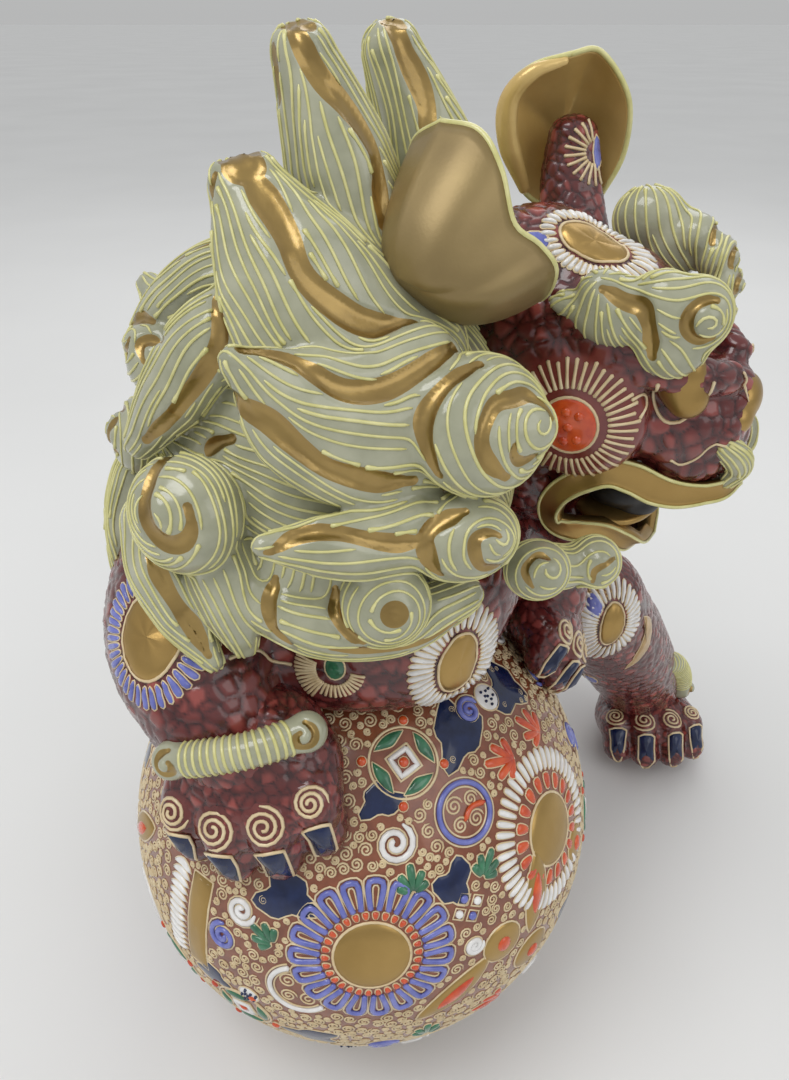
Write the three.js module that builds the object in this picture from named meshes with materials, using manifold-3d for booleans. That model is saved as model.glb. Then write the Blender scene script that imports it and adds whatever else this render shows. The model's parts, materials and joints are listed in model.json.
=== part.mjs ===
// Foo dog (shishi) statue: a glazed porcelain lion resting both forepaws on a brocade ball.
// Millimetres, +Z up. The ball stands on the floor with its centre on the Z axis of the
// modelling frame, the lion's chest faces -Y, and its head is turned towards +X.
// Every node is one moulded section, luted to its neighbours with a hairline joint.
import * as THREE from "three";
import { mergeVertices } from "three/addons/utils/BufferGeometryUtils.js";
import Module from "manifold-3d";

const wasm = await Module();
wasm.setup();

// ---- Driving dimensions ----
const BALL_RADIUS = 75;
const FOOT_FLAT = 2; // how much of the ball's underside is ground flat
const WALL = 7; // slip-cast wall of the hollow sections
const VENT_RADIUS = 4.5; // firing vents into the hollow sections
const JOINT_GAP = 0.3; // clearance left at every luted joint
const PAW = { halfWidth: 24, length: 25, height: 15, toeRadius: 9 };
const LOCK_SIDES = 9;
const LOCK_RINGS = 6;

const v = (x, y, z) => new THREE.Vector3(x, y, z);
const ballCentre = v(0, 0, BALL_RADIUS - FOOT_FLAT);
const maneCentre = v(1, 9, 198);
const maneRadii = [57, 57, 59];

// The head's own frame: origin at the nose, then forward, to the dog's left, and up.
const nose = v(96, -1, 218);
const headForward = v(0.91, -0.41, 0).normalize();
const headLeft = v(0.405, 0.905, 0.08).normalize();
const headUp = new THREE.Vector3().crossVectors(headForward, headLeft);
const headAxes = [headForward, headLeft, headUp];

function onHead(forward, left, up) {
  return nose.clone()
    .addScaledVector(headForward, forward)
    .addScaledVector(headLeft, left)
    .addScaledVector(headUp, up);
}

// ---- Glazes ----
const GLAZE = {
  celadon: { color: 0xaaac94, roughness: 0.2, metalness: 0 },
  maroon: { color: 0x5f1e1e, roughness: 0.25, metalness: 0 },
  brocade: { color: 0x82462f, roughness: 0.25, metalness: 0 },
  gold: { color: 0xa5803c, roughness: 0.35, metalness: 0.8 },
};

// ---- Primitive bodies; grow makes each one larger all round ----

// An ellipsoid about `centre`, its radii along `axes` (X, Y and Z when left out).
function egg(centre, radii, axes = [v(1, 0, 0), v(0, 1, 0), v(0, 0, 1)], segments = 12) {
  return (grow) => {
    const body = new THREE.SphereGeometry(1, segments, Math.round(segments * 0.65));
    body.scale(radii[0] + grow, radii[1] + grow, radii[2] + grow);
    body.applyMatrix4(new THREE.Matrix4().makeBasis(...axes));
    body.translate(centre.x, centre.y, centre.z);
    return toSolid(body);
  };
}

// Axes whose third direction points along `outward`.
function axesFacing(outward) {
  const turn = new THREE.Quaternion().setFromUnitVectors(v(0, 0, 1), outward.clone().normalize());
  return [v(1, 0, 0), v(0, 1, 0), v(0, 0, 1)].map((axis) => axis.applyQuaternion(turn));
}

function valueAlong(list, t) {
  const place = Math.min(Math.max(t, 0), 1) * (list.length - 1);
  const index = Math.min(Math.floor(place), list.length - 2);
  return THREE.MathUtils.lerp(list[index], list[index + 1], place - index);
}

// A tapering lock, limb or tail swept along `points`; `outward` is the flattened side.
function lock(points, halfWidths, halfThicknesses, outward) {
  return (grow) => {
    const curve = new THREE.CatmullRomCurve3(points, false, "centripetal");
    const body = new THREE.SphereGeometry(1, LOCK_SIDES, LOCK_RINGS);
    const place = body.attributes.position;
    for (let i = 0; i < place.count; i += 1) {
      const along = Math.acos(THREE.MathUtils.clamp(place.getY(i), -1, 1)) / Math.PI;
      const tangent = curve.getTangentAt(along);
      const across = new THREE.Vector3().crossVectors(tangent, outward).normalize();
      const out = new THREE.Vector3().crossVectors(across, tangent);
      const centre = curve.getPointAt(along).addScaledVector(tangent, (along * 2 - 1) * grow);
      const ring = Math.hypot(place.getX(i), place.getZ(i));
      if (ring > 1e-4) {
        const width = valueAlong(halfWidths, along) + grow;
        const thickness = valueAlong(halfThicknesses, along) + grow;
        centre.addScaledVector(across, (-place.getX(i) / ring) * width);
        centre.addScaledVector(out, (place.getZ(i) / ring) * thickness);
      }
      place.setXYZ(i, centre.x, centre.y, centre.z);
    }
    return toSolid(body);
  };
}

// A round coiled curl: a dome whose back sinks into what it sits on.
function curl(centre, radius, outward, height = 0.75) {
  return egg(centre, [radius, radius, radius * height], axesFacing(outward), 10);
}

function toSolid(geometry) {
  const bare = geometry.clone();
  bare.deleteAttribute("normal");
  bare.deleteAttribute("uv");
  const merged = mergeVertices(bare, 1e-3);
  return new wasm.Manifold(new wasm.Mesh({
    numProp: 3,
    vertProperties: new Float32Array(merged.attributes.position.array),
    triVerts: new Uint32Array(merged.index.array),
  }));
}

function join(bodies) {
  return bodies.reduce((all, body) => all.add(body));
}

function cylinder(base, radius, height) {
  const body = new THREE.CylinderGeometry(radius, radius, height, 16);
  body.rotateX(Math.PI / 2);
  body.translate(base.x, base.y, base.z + height / 2);
  return toSolid(body);
}

function box(centre, size) {
  const body = new THREE.BoxGeometry(...size);
  body.translate(centre.x, centre.y, centre.z);
  return toSolid(body);
}

// The direction away from the middle of the mane, for what grows out of it.
const fromMane = (point) => point.clone().sub(maneCentre);

// ---- Sections, in the order they are fitted: each is trimmed to clear the earlier ones ----
const sections = [];

function section(name, glaze, parts, finish = (solid) => solid) {
  const shape = (grow) => join(parts.map((part) => part(grow)));
  sections.push({ name, glaze, shape, finish });
}

// Ball, ground flat where it stands, hollow, with its vent underneath.
section("ball", "brocade", [egg(ballCentre, [BALL_RADIUS, BALL_RADIUS, BALL_RADIUS], undefined, 26)],
  (solid) => {
    const inner = BALL_RADIUS - WALL;
    const hollow = egg(ballCentre, [inner, inner, inner], undefined, 12)(0);
    return solid.subtract(hollow).subtract(cylinder(v(0, 0, -10), VENT_RADIUS, 30));
  });

// Torso: chest on the ball, back sloping down to the haunches.
const chest = v(4, 8, 168);
const breast = v(9, -12, 160);
const loin = v(14, 66, 142);
const rump = v(17, 104, 108);
section("torso", "maroon", [
  egg(chest, [45, 44, 30]),
  egg(breast, [32, 21, 17]),
  egg(loin, [41, 46, 38]),
  egg(rump, [46, 40, 42]),
], (solid) => {
  const hollow = join([
    egg(loin, [41 - 2 * WALL, 46 - WALL, 38 - 2 * WALL])(0),
    egg(rump, [46 - WALL, 40 - WALL, 42 - WALL])(0),
  ]);
  return solid.subtract(hollow).subtract(cylinder(v(rump.x, rump.y, 50), VENT_RADIUS, 30));
});

// Head.
section("skull", "maroon", [
  egg(onHead(-43, 0, 9), [31, 27, 27], headAxes),
  egg(onHead(-19, 0, -11), [22, 19, 15], headAxes),
  egg(onHead(-34, 0, -6), [24, 24, 20], headAxes),
]);
section("lower_jaw", "maroon", [egg(onHead(-42, 0, -42), [23, 19, 9], headAxes)]);

section("mane_core", "celadon", [
  egg(maneCentre, maneRadii, undefined, 16),
  egg(v(-8, 30, 188), [55, 46, 47], undefined, 14),
], (solid) => {
  const [x, y, z] = maneRadii.map((radius) => radius - 1.5 * WALL);
  const hollow = egg(maneCentre, [x, y, z], undefined, 10)(0);
  return solid.subtract(hollow).subtract(cylinder(v(-28, 30, 130), VENT_RADIUS, 40));
});

// Paws: a pad with four toes. `forward` is where the toes point, `down` where the sole faces.
function paw(name, centre, forward, down, size = 1) {
  const ahead = forward.clone().normalize();
  const side = new THREE.Vector3().crossVectors(down, ahead).normalize();
  const up = new THREE.Vector3().crossVectors(side, ahead).normalize();
  if (up.dot(down) > 0) up.negate();
  const axes = [side, ahead, new THREE.Vector3().crossVectors(side, ahead)];
  const { halfWidth, length, height, toeRadius } = PAW;
  const parts = [egg(centre, [halfWidth * size, length * size * 0.8, height * size], axes)];
  for (const step of [-1.5, -0.5, 0.5, 1.5]) {
    const toe = centre.clone()
      .addScaledVector(side, step * halfWidth * size * 0.5)
      .addScaledVector(ahead, length * size * (0.72 - 0.07 * step * step))
      .addScaledVector(up, -height * size * 0.25);
    parts.push(egg(toe, [toeRadius * 0.85 * size, toeRadius * 1.2 * size, toeRadius * size], axes, 8));
  }
  section(name, "maroon", parts);
}
const floorDown = v(0, 0, -1);
paw("forepaw_right", v(-26, -46, 131), v(0.06, -0.68, -0.64), v(0.22, 0.62, -0.75));
paw("forepaw_left", v(60, 22, 129), v(0.25, -0.8, -0.6), v(-0.78, -0.2, -0.6), 0.8);
paw("hindpaw_left", v(131, 94, 12), v(0.05, -1, 0), floorDown);
paw("hindpaw_right", v(-52, 98, 12), v(-0.1, -1, 0), floorDown);

// Limbs.
const limb = (points, radii, outward) => lock(points, radii, radii, outward);
section("foreleg_right", "maroon", [
  limb([v(-36, -2, 172), v(-42, -18, 159), v(-34, -36, 147), v(-27, -46, 136)], [30, 26, 23, 19], v(-1, 0, 0)),
]);
section("foreleg_left", "maroon", [
  limb([v(40, 32, 172), v(54, 32, 155), v(60, 28, 138)], [22, 19, 14], v(1, 0, 0)),
]);
section("thigh_left", "maroon", [
  limb([v(42, 100, 100), v(66, 84, 106), v(86, 68, 104)], [36, 31, 21], v(0, 0, 1)),
]);
section("shank_left", "maroon", [
  limb([v(86, 66, 106), v(104, 80, 76), v(122, 96, 42), v(130, 102, 16)], [22, 22, 21, 18], v(1, 0, 0)),
]);
section("thigh_right", "maroon", [
  limb([v(-8, 106, 98), v(-30, 92, 96), v(-46, 78, 88)], [34, 28, 19], v(0, 0, 1)),
]);
section("shank_right", "maroon", [
  limb([v(-46, 78, 90), v(-50, 94, 58), v(-52, 102, 28), v(-52, 102, 14)], [19, 18, 17, 16], v(-1, 0, 0)),
]);

// Face.
section("nose", "gold", [egg(onHead(0, 0, 0), [5, 7, 7], headAxes, 10)]);
for (const [side, left] of [["right", -1], ["left", 1]]) {
  section(`eye_${side}`, "gold", [egg(onHead(-13, 17 * left, 7), [8, 5, 6], headAxes, 10)]);
  section(`brow_${side}`, "celadon", [
    lock([onHead(-38, 19 * left, 36), onHead(-27, 23 * left, 30), onHead(-14, 20 * left, 22),
      onHead(-8, 16 * left, 16)], [5, 11, 10, 6], [5, 8, 8, 6], onHead(-20, 30 * left, 40).sub(onHead(-20, 0, 10))),
  ]);
}

// Ears: cupped shells, open towards the front and the middle of the head.
function ear(name, base, tip, opening, halfWidth) {
  const axis = tip.clone().sub(base);
  const length = axis.length() / 2 + 4;
  axis.normalize();
  const side = new THREE.Vector3().crossVectors(opening, axis).normalize();
  const open = new THREE.Vector3().crossVectors(axis, side);
  const centre = base.clone().add(tip).multiplyScalar(0.5);
  const axes = [side, axis, new THREE.Vector3().crossVectors(side, axis)];
  const shellRadii = [halfWidth, length, halfWidth * 0.62];
  const hollowRadii = shellRadii.map((radius) => radius - 2.5);
  const hollowCentre = centre.clone().addScaledVector(open, halfWidth * 0.35);
  section(name, "gold", [egg(centre, shellRadii, axes, 14)], (solid) => {
    const front = centre.clone().addScaledVector(open, halfWidth * 0.85);
    const cut = egg(front, [halfWidth * 1.3, length * 1.3, halfWidth * 0.8], axes, 14)(0);
    return solid.subtract(egg(hollowCentre, hollowRadii, axes, 12)(0)).subtract(cut);
  });
}
ear("ear_right", v(40, -4, 240), v(15, -4, 273), v(0.85, 0.3, 0.45), 22);
ear("ear_left", v(58, 46, 251), v(56, 54, 287), v(0.45, -0.85, 0.1), 18);

// Mane: coiled curls first, then the pointed locks that run in under them.
const curls = [
  ["cheek_curl_right", v(34, -36, 226), 14],
  ["jowl_curl_right", v(30, -44, 204), 11.5],
  ["chin_curl_right", v(46, -33, 192), 8],
  ["chin_curl_front", v(61, -21, 186), 8],
  ["shoulder_curl_right", v(-36, -37, 207), 11],
  ["throat_curl_right", v(9, -50, 190), 8],
  ["side_curl_upper", v(-49, 3, 230), 8],
  ["side_curl_lower", v(-57, -2, 212), 8],
  ["cheek_curl_left", v(62, 48, 222), 13],
  ["jowl_curl_left", v(66, 40, 196), 10],
];
for (const [name, centre, radius] of curls) {
  section(name, "celadon", [curl(centre, radius, fromMane(centre))]);
}

function maneLock(name, points, halfWidths, halfThicknesses) {
  const middle = points[Math.floor(points.length / 2)];
  section(name, "celadon", [lock(points, halfWidths, halfThicknesses, fromMane(middle))]);
}
maneLock("mane_spike_right", [v(9, -20, 231), v(0, -20, 247), v(-11, -18, 262), v(-24, -13, 276)],
  [23, 20, 14, 5], [14, 11, 9, 4]);
maneLock("mane_spike_crown", [v(4, 8, 236), v(-1, 4, 258), v(-7, 1, 279), v(-11, 0, 297)],
  [25, 20, 16, 8], [16, 13, 11, 6]);
maneLock("mane_spike_back", [v(22, 26, 238), v(20, 26, 260), v(12, 26, 281), v(6, 25, 298)],
  [20, 17, 13, 6], [14, 12, 10, 5]);
maneLock("mane_spike_left", [v(30, 52, 226), v(28, 62, 246), v(20, 66, 262), v(10, 64, 276)],
  [20, 17, 12, 4], [13, 11, 8, 4]);
maneLock("mane_horn_upper", [v(24, -34, 228), v(6, -44, 231), v(-10, -46, 239), v(-22, -42, 250)],
  [12, 12, 9, 3], [8, 8, 6, 3]);
maneLock("mane_horn_lower", [v(18, -44, 207), v(4, -51, 208), v(-7, -54, 211), v(-15, -56, 216)],
  [8, 7, 5, 2], [6, 5, 4, 2]);
maneLock("shoulder_lock", [v(-48, -18, 192), v(-46, -26, 178), v(-38, -34, 166), v(-30, -39, 158)],
  [8, 11, 9, 4], [7, 8, 6, 3]);
maneLock("throat_lock", [v(-20, -40, 182), v(-4, -46, 178), v(12, -45, 178), v(24, -37, 182)],
  [8, 9, 8, 6], [7, 8, 7, 5]);
maneLock("flank_lock", [v(-48, 10, 206), v(-58, 2, 190), v(-60, -8, 176), v(-58, -14, 166)],
  [12, 12, 9, 4], [8, 8, 6, 3]);

// Pointed locks down the nape, hidden from the front.
const napeLocks = [
  ["nape_lock_upper", v(0, 44, 232), v(-6, 66, 244), v(-10, 80, 258)],
  ["nape_lock_right", v(-14, 12, 240), v(-34, 10, 242), v(-51, 8, 236)],
  ["nape_lock_left", v(44, 56, 196), v(54, 72, 192), v(58, 84, 182)],
  ["nape_lock_centre", v(4, 70, 202), v(2, 90, 198), v(0, 106, 186)],
  ["nape_lock_side", v(-34, 52, 192), v(-48, 68, 188), v(-56, 78, 176)],
];
for (const [name, root, middle, tip] of napeLocks) {
  maneLock(name, [root, middle, tip], [18, 13, 3], [12, 9, 3]);
}

// Scrolled fetlock tufts above the paws.
section("fetlock_scroll_front_right", "celadon", [
  lock([v(-51, -42, 149), v(-40, -51, 152), v(-24, -54, 157), v(-8, -50, 159)], [5, 5], [5, 5], v(0, -1, 0.4)),
]);
section("fetlock_scroll_hind_left", "celadon", [
  lock([v(126, 84, 58), v(136, 88, 54), v(144, 94, 42), v(148, 98, 28)], [5, 7, 6, 4], [5, 7, 6, 4], v(1, -0.4, 0.3)),
]);
section("fetlock_scroll_hind_right", "celadon", [
  lock([v(-58, 88, 56), v(-68, 94, 50), v(-73, 99, 38), v(-71, 102, 26)], [5, 7, 6, 4], [5, 7, 6, 4], v(-1, -0.2, 0.3)),
]);

// Tail: a root and three flame locks held up against the back.
section("tail_root", "celadon", [
  lock([v(18, 128, 112), v(18, 148, 126), v(18, 156, 146)], [17, 16, 15], [15, 14, 12], v(0, 1, 0)),
]);
const tailLocks = [
  ["tail_flame_centre", v(18, 154, 144), v(18, 160, 172), v(14, 154, 204), v(8, 140, 236), 17],
  ["tail_flame_right", v(8, 150, 140), v(-8, 156, 160), v(-20, 154, 182), v(-26, 142, 206), 12],
  ["tail_flame_left", v(28, 150, 140), v(44, 154, 160), v(52, 150, 182), v(52, 138, 206), 12],
];
for (const [name, root, low, high, tip, halfWidth] of tailLocks) {
  section(name, "celadon", [
    lock([root, low, high, tip], [halfWidth, halfWidth, halfWidth * 0.75, 3], [11, 11, 8, 3], v(0, 1, 0)),
  ]);
}

// ---- Trimming and assembly ----
function overlaps(a, b) {
  return [0, 1, 2].every((axis) => a.min[axis] < b.max[axis] && b.min[axis] < a.max[axis]);
}

function largestBody(solid) {
  return solid.decompose().reduce((best, body) => (body.volume() > best.volume() ? body : best));
}

const groundBlock = box(v(0, 0, -50), [600, 600, 100]);
const fitted = [];
const statue = new THREE.Group();

for (const { name, glaze, shape, finish } of sections) {
  let solid = shape(0).subtract(groundBlock);
  for (const earlier of fitted) {
    if (overlaps(solid.boundingBox(), earlier.boundingBox())) solid = solid.subtract(earlier);
  }
  solid = largestBody(finish(solid));
  fitted.push(shape(JOINT_GAP));

  const { vertProperties, triVerts } = solid.getMesh();
  const geometry = new THREE.BufferGeometry();
  geometry.setAttribute("position", new THREE.BufferAttribute(new Float32Array(vertProperties), 3));
  geometry.setIndex(new THREE.BufferAttribute(new Uint32Array(triVerts), 1));
  geometry.computeBoundingBox();
  const centre = geometry.boundingBox.getCenter(new THREE.Vector3());
  geometry.translate(-centre.x, -centre.y, -centre.z);
  geometry.computeVertexNormals();
  const mesh = new THREE.Mesh(geometry, new THREE.MeshStandardMaterial(GLAZE[glaze]));
  mesh.name = name;
  mesh.position.copy(centre);
  statue.add(mesh);
}

// The packed origin is the middle of the statue's footprint, on the floor.
const extent = new THREE.Box3().setFromObject(statue);
const middle = extent.getCenter(new THREE.Vector3());
statue.position.set(-middle.x, -middle.y, -extent.min.z);

const assembly = new THREE.Group();
assembly.add(statue);

export default assembly;
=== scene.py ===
"""Enamelled porcelain lion dog leaning on a brocade ball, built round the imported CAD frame.

Lengths are in millimetres from the floor under the ball's centre; `metres` turns them into the frame.
"""
import json
import math

import bpy
import numpy as np
import openvdb
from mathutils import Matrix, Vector
from mathutils.bvhtree import BVHTree
from mathutils.kdtree import KDTree


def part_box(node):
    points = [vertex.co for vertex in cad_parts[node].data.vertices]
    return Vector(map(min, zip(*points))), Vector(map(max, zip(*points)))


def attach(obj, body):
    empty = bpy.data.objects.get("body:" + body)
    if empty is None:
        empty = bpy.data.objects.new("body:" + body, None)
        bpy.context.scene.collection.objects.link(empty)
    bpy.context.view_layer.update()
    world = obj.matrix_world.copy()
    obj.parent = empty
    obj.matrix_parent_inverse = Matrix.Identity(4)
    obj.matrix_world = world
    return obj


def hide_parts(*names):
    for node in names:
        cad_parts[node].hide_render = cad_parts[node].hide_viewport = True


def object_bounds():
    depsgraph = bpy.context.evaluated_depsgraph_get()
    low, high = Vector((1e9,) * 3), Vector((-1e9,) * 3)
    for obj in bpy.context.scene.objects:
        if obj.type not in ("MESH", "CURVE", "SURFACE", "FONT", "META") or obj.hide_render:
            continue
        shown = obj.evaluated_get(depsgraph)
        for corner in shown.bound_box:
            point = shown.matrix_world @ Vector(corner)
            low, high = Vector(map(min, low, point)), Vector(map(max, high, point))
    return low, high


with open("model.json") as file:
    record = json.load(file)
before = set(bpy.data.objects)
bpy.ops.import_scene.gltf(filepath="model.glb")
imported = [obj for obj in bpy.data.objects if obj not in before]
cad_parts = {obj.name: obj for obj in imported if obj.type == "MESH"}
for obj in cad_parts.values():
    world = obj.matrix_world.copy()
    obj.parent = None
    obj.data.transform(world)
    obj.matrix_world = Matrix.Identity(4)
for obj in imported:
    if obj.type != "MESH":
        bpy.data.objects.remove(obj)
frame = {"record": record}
cad_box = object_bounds()

# ---------------------------------------------------------------- driving sizes and places
MM = 0.001
BODY = "root"
BALL_RADIUS = 75.0
RELIEF = 1.0  # depth kept under the CAD's surface for the ball's raised enamel
GLAZE_RADIUS = BALL_RADIUS - RELIEF
ball_low, ball_high = [np.array(corner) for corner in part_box("ball")]
floor_point = np.array([(ball_low[0] + ball_high[0]) / 2, (ball_low[1] + ball_high[1]) / 2, cad_box[0][2]])
ball_centre = np.array([0.0, 0.0, (ball_high[2] - floor_point[2]) / MM - BALL_RADIUS])
VOXEL = 0.85  # sculpting resolution
FINE_VOXEL = VOXEL * 0.6
rng = np.random.default_rng(7)

Z = np.array([0.0, 0.0, 1.0])


def vec(*values):
    return np.array(values, float)


def unit(direction):
    direction = np.asarray(direction, float)
    return direction / (np.linalg.norm(direction, axis=-1, keepdims=True) + 1e-9)


def metres(points):
    return np.asarray(points, float) * MM + floor_point


# ---------------------------------------------------------------- materials
def shader(name, **values):
    """A node material; returns it with its tree's nodes, links and Principled shader."""
    material = bpy.data.materials.new(name)
    material.use_nodes = True
    nodes, links = material.node_tree.nodes, material.node_tree.links
    surface = nodes["Principled BSDF"]
    for socket, value in values.items():
        surface.inputs[socket.replace("_", " ")].default_value = value
    return material, nodes, links, surface


def noise(nodes, links, scale, detail=3.0):
    place = nodes.new("ShaderNodeTexCoord")
    texture = nodes.new("ShaderNodeTexNoise")
    texture.inputs["Scale"].default_value = scale
    texture.inputs["Detail"].default_value = detail
    links.new(place.outputs["Object"], texture.inputs["Vector"])
    return texture.outputs["Fac"]


def ramp(nodes, links, factor, stops):
    node = nodes.new("ShaderNodeValToRGB")
    node.color_ramp.elements[0].position, node.color_ramp.elements[0].color = stops[0][0], (*stops[0][1], 1)
    node.color_ramp.elements[1].position, node.color_ramp.elements[1].color = stops[-1][0], (*stops[-1][1], 1)
    for position, colour in stops[1:-1]:
        node.color_ramp.elements.new(position).color = (*colour, 1)
    links.new(factor, node.inputs["Fac"])
    return node.outputs["Color"]


def mix_colour(nodes, links, factor, low, high):
    node = nodes.new("ShaderNodeMix")
    node.data_type = "RGBA"
    links.new(factor, node.inputs[0])
    for socket, value in ((node.inputs[6], low), (node.inputs[7], high)):
        if isinstance(value, tuple):
            socket.default_value = (*value, 1)
        else:
            links.new(value, socket)
    return node.outputs[2]


def bump(nodes, links, surface, height, strength, distance):
    node = nodes.new("ShaderNodeBump")
    node.inputs["Strength"].default_value = strength
    node.inputs["Distance"].default_value = distance
    links.new(height, node.inputs["Height"])
    links.new(node.outputs["Normal"], surface.inputs["Normal"])


POOLING = 260.0  # noise scale of an enamel's two tones
RIPPLE = 0.08, 0.0004  # bump strength and distance of a fired surface
GILT_EDGE = 1 / 60.0  # half the width over which glaze turns into gilding


def enamel(name, dark, light, roughness=0.18, coat=0.5):
    """A fired enamel: two close tones pooled by noise, glossy, with a faint ripple."""
    material, nodes, links, surface = shader(name, Roughness=roughness)
    surface.inputs["Coat Weight"].default_value = coat
    surface.inputs["Coat Roughness"].default_value = 0.06
    cloud = noise(nodes, links, POOLING)
    links.new(ramp(nodes, links, cloud, [(0.3, dark), (0.7, light)]), surface.inputs["Base Color"])
    bump(nodes, links, surface, cloud, *RIPPLE)
    return material


def masked(name, base, gilt):
    """Glaze with gilding where the mesh's "gold" attribute is above zero."""
    material, nodes, links, surface = shader(name)
    field = nodes.new("ShaderNodeAttribute")
    field.attribute_name = "gold"
    edge = nodes.new("ShaderNodeMapRange")
    edge.inputs["From Min"].default_value = -GILT_EDGE
    edge.inputs["From Max"].default_value = GILT_EDGE
    links.new(field.outputs["Fac"], edge.inputs["Value"])
    mask = edge.outputs["Result"]
    cloud = noise(nodes, links, 120.0)
    fine = noise(nodes, links, 900.0, 6.0)
    glaze = ramp(nodes, links, cloud, [(0.3, base[0]), (0.7, base[1])])
    gold = ramp(nodes, links, cloud, [(0.25, gilt[0]), (0.75, gilt[1])])
    links.new(mix_colour(nodes, links, mask, glaze, gold), surface.inputs["Base Color"])
    for socket, low, high in (("Metallic", 0.0, 0.88), ("Roughness", 0.16, 0.32)):
        span = nodes.new("ShaderNodeMapRange")
        span.inputs["To Min"].default_value = low
        span.inputs["To Max"].default_value = high
        links.new(mask, span.inputs["Value"])
        links.new(span.outputs["Result"], surface.inputs[socket])
    surface.inputs["Coat Weight"].default_value = 0.4
    surface.inputs["Coat Roughness"].default_value = 0.05
    bump(nodes, links, surface, fine, *RIPPLE)
    return material


GOLD_TONES = ((0.29, 0.19, 0.058), (0.42, 0.285, 0.095))
CELADON_TONES = ((0.31, 0.315, 0.215), (0.44, 0.44, 0.32))
celadon = masked("celadon_glaze", CELADON_TONES, GOLD_TONES)
cream_line = enamel("cream_line_enamel", (0.60, 0.57, 0.21), (0.76, 0.72, 0.34), 0.3)
cream_outline = enamel("cream_outline_enamel", (0.66, 0.50, 0.28), (0.80, 0.66, 0.42), 0.3)
white = enamel("white_enamel", (0.74, 0.72, 0.70), (0.90, 0.89, 0.88), 0.2)
violet = enamel("violet_blue_enamel", (0.10, 0.12, 0.42), (0.20, 0.22, 0.60), 0.15)
navy = enamel("navy_enamel", (0.004, 0.010, 0.045), (0.010, 0.022, 0.085), 0.12, coat=0.1)
orange = enamel("orange_red_enamel", (0.50, 0.045, 0.01), (0.75, 0.11, 0.02), 0.2)
green = enamel("green_enamel", (0.02, 0.10, 0.05), (0.05, 0.22, 0.11), 0.12)
tan = enamel("tan_enamel", (0.42, 0.26, 0.10), (0.60, 0.40, 0.18), 0.3)
rust = enamel("rust_ground", (0.17, 0.046, 0.020), (0.27, 0.082, 0.036), 0.2)
maroon_flat = enamel("maroon_enamel", (0.10, 0.018, 0.016), (0.17, 0.03, 0.025), 0.2)
# near-black painted shade for the inside of the mouth
mouth_shade_black = enamel("mouth_painted_shade", (0.004, 0.003, 0.003), (0.012, 0.008, 0.006), 0.5, coat=0.0)


def satin_gold(name, metallic, roughness, dark, light):
    material, nodes, links, surface = shader(name, Metallic=metallic, Roughness=roughness)
    cloud = noise(nodes, links, 60.0, 5.0)
    links.new(ramp(nodes, links, cloud, [(0.3, dark), (0.7, light)]), surface.inputs["Base Color"])
    bump(nodes, links, surface, noise(nodes, links, 1400.0, 6.0), 0.1, 0.0003)
    return material


gold = satin_gold("satin_gold", 0.85, 0.32, (0.36, 0.23, 0.075), (0.46, 0.30, 0.105))
# paler, less metallic copy of the gold: painted light for the far ear, whose cup faces away from the lamps
painted_light_gold = satin_gold("painted_light_gold", 0.25, 0.24, (0.60, 0.41, 0.14), (0.78, 0.56, 0.22))
ear_gold = satin_gold("matte_gold", 0.42, 0.40, (0.24, 0.17, 0.07), (0.33, 0.24, 0.10))


def pebbled_maroon():
    """Maroon glaze over pebbled slip, darker in the joints, each pebble in its own tone."""
    material, nodes, links, surface = shader("pebbled_maroon_glaze", Roughness=0.22)
    surface.inputs["Coat Weight"].default_value = 0.45
    surface.inputs["Coat Roughness"].default_value = 0.1
    crown, tone = nodes.new("ShaderNodeAttribute"), nodes.new("ShaderNodeAttribute")
    crown.attribute_name, tone.attribute_name = "pebble", "tone"
    dull = ramp(nodes, links, crown.outputs["Fac"],
                [(0.0, (0.022, 0.005, 0.006)), (0.45, (0.085, 0.013, 0.013)), (1.0, (0.125, 0.019, 0.017))])
    bright = ramp(nodes, links, crown.outputs["Fac"],
                  [(0.0, (0.030, 0.006, 0.007)), (0.5, (0.15, 0.025, 0.022)), (1.0, (0.33, 0.068, 0.056))])
    links.new(mix_colour(nodes, links, tone.outputs["Fac"], dull, bright), surface.inputs["Base Color"])
    bump(nodes, links, surface, noise(nodes, links, 240.0, 2.0), 0.05, 0.0003)
    return material


maroon = pebbled_maroon()


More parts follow.
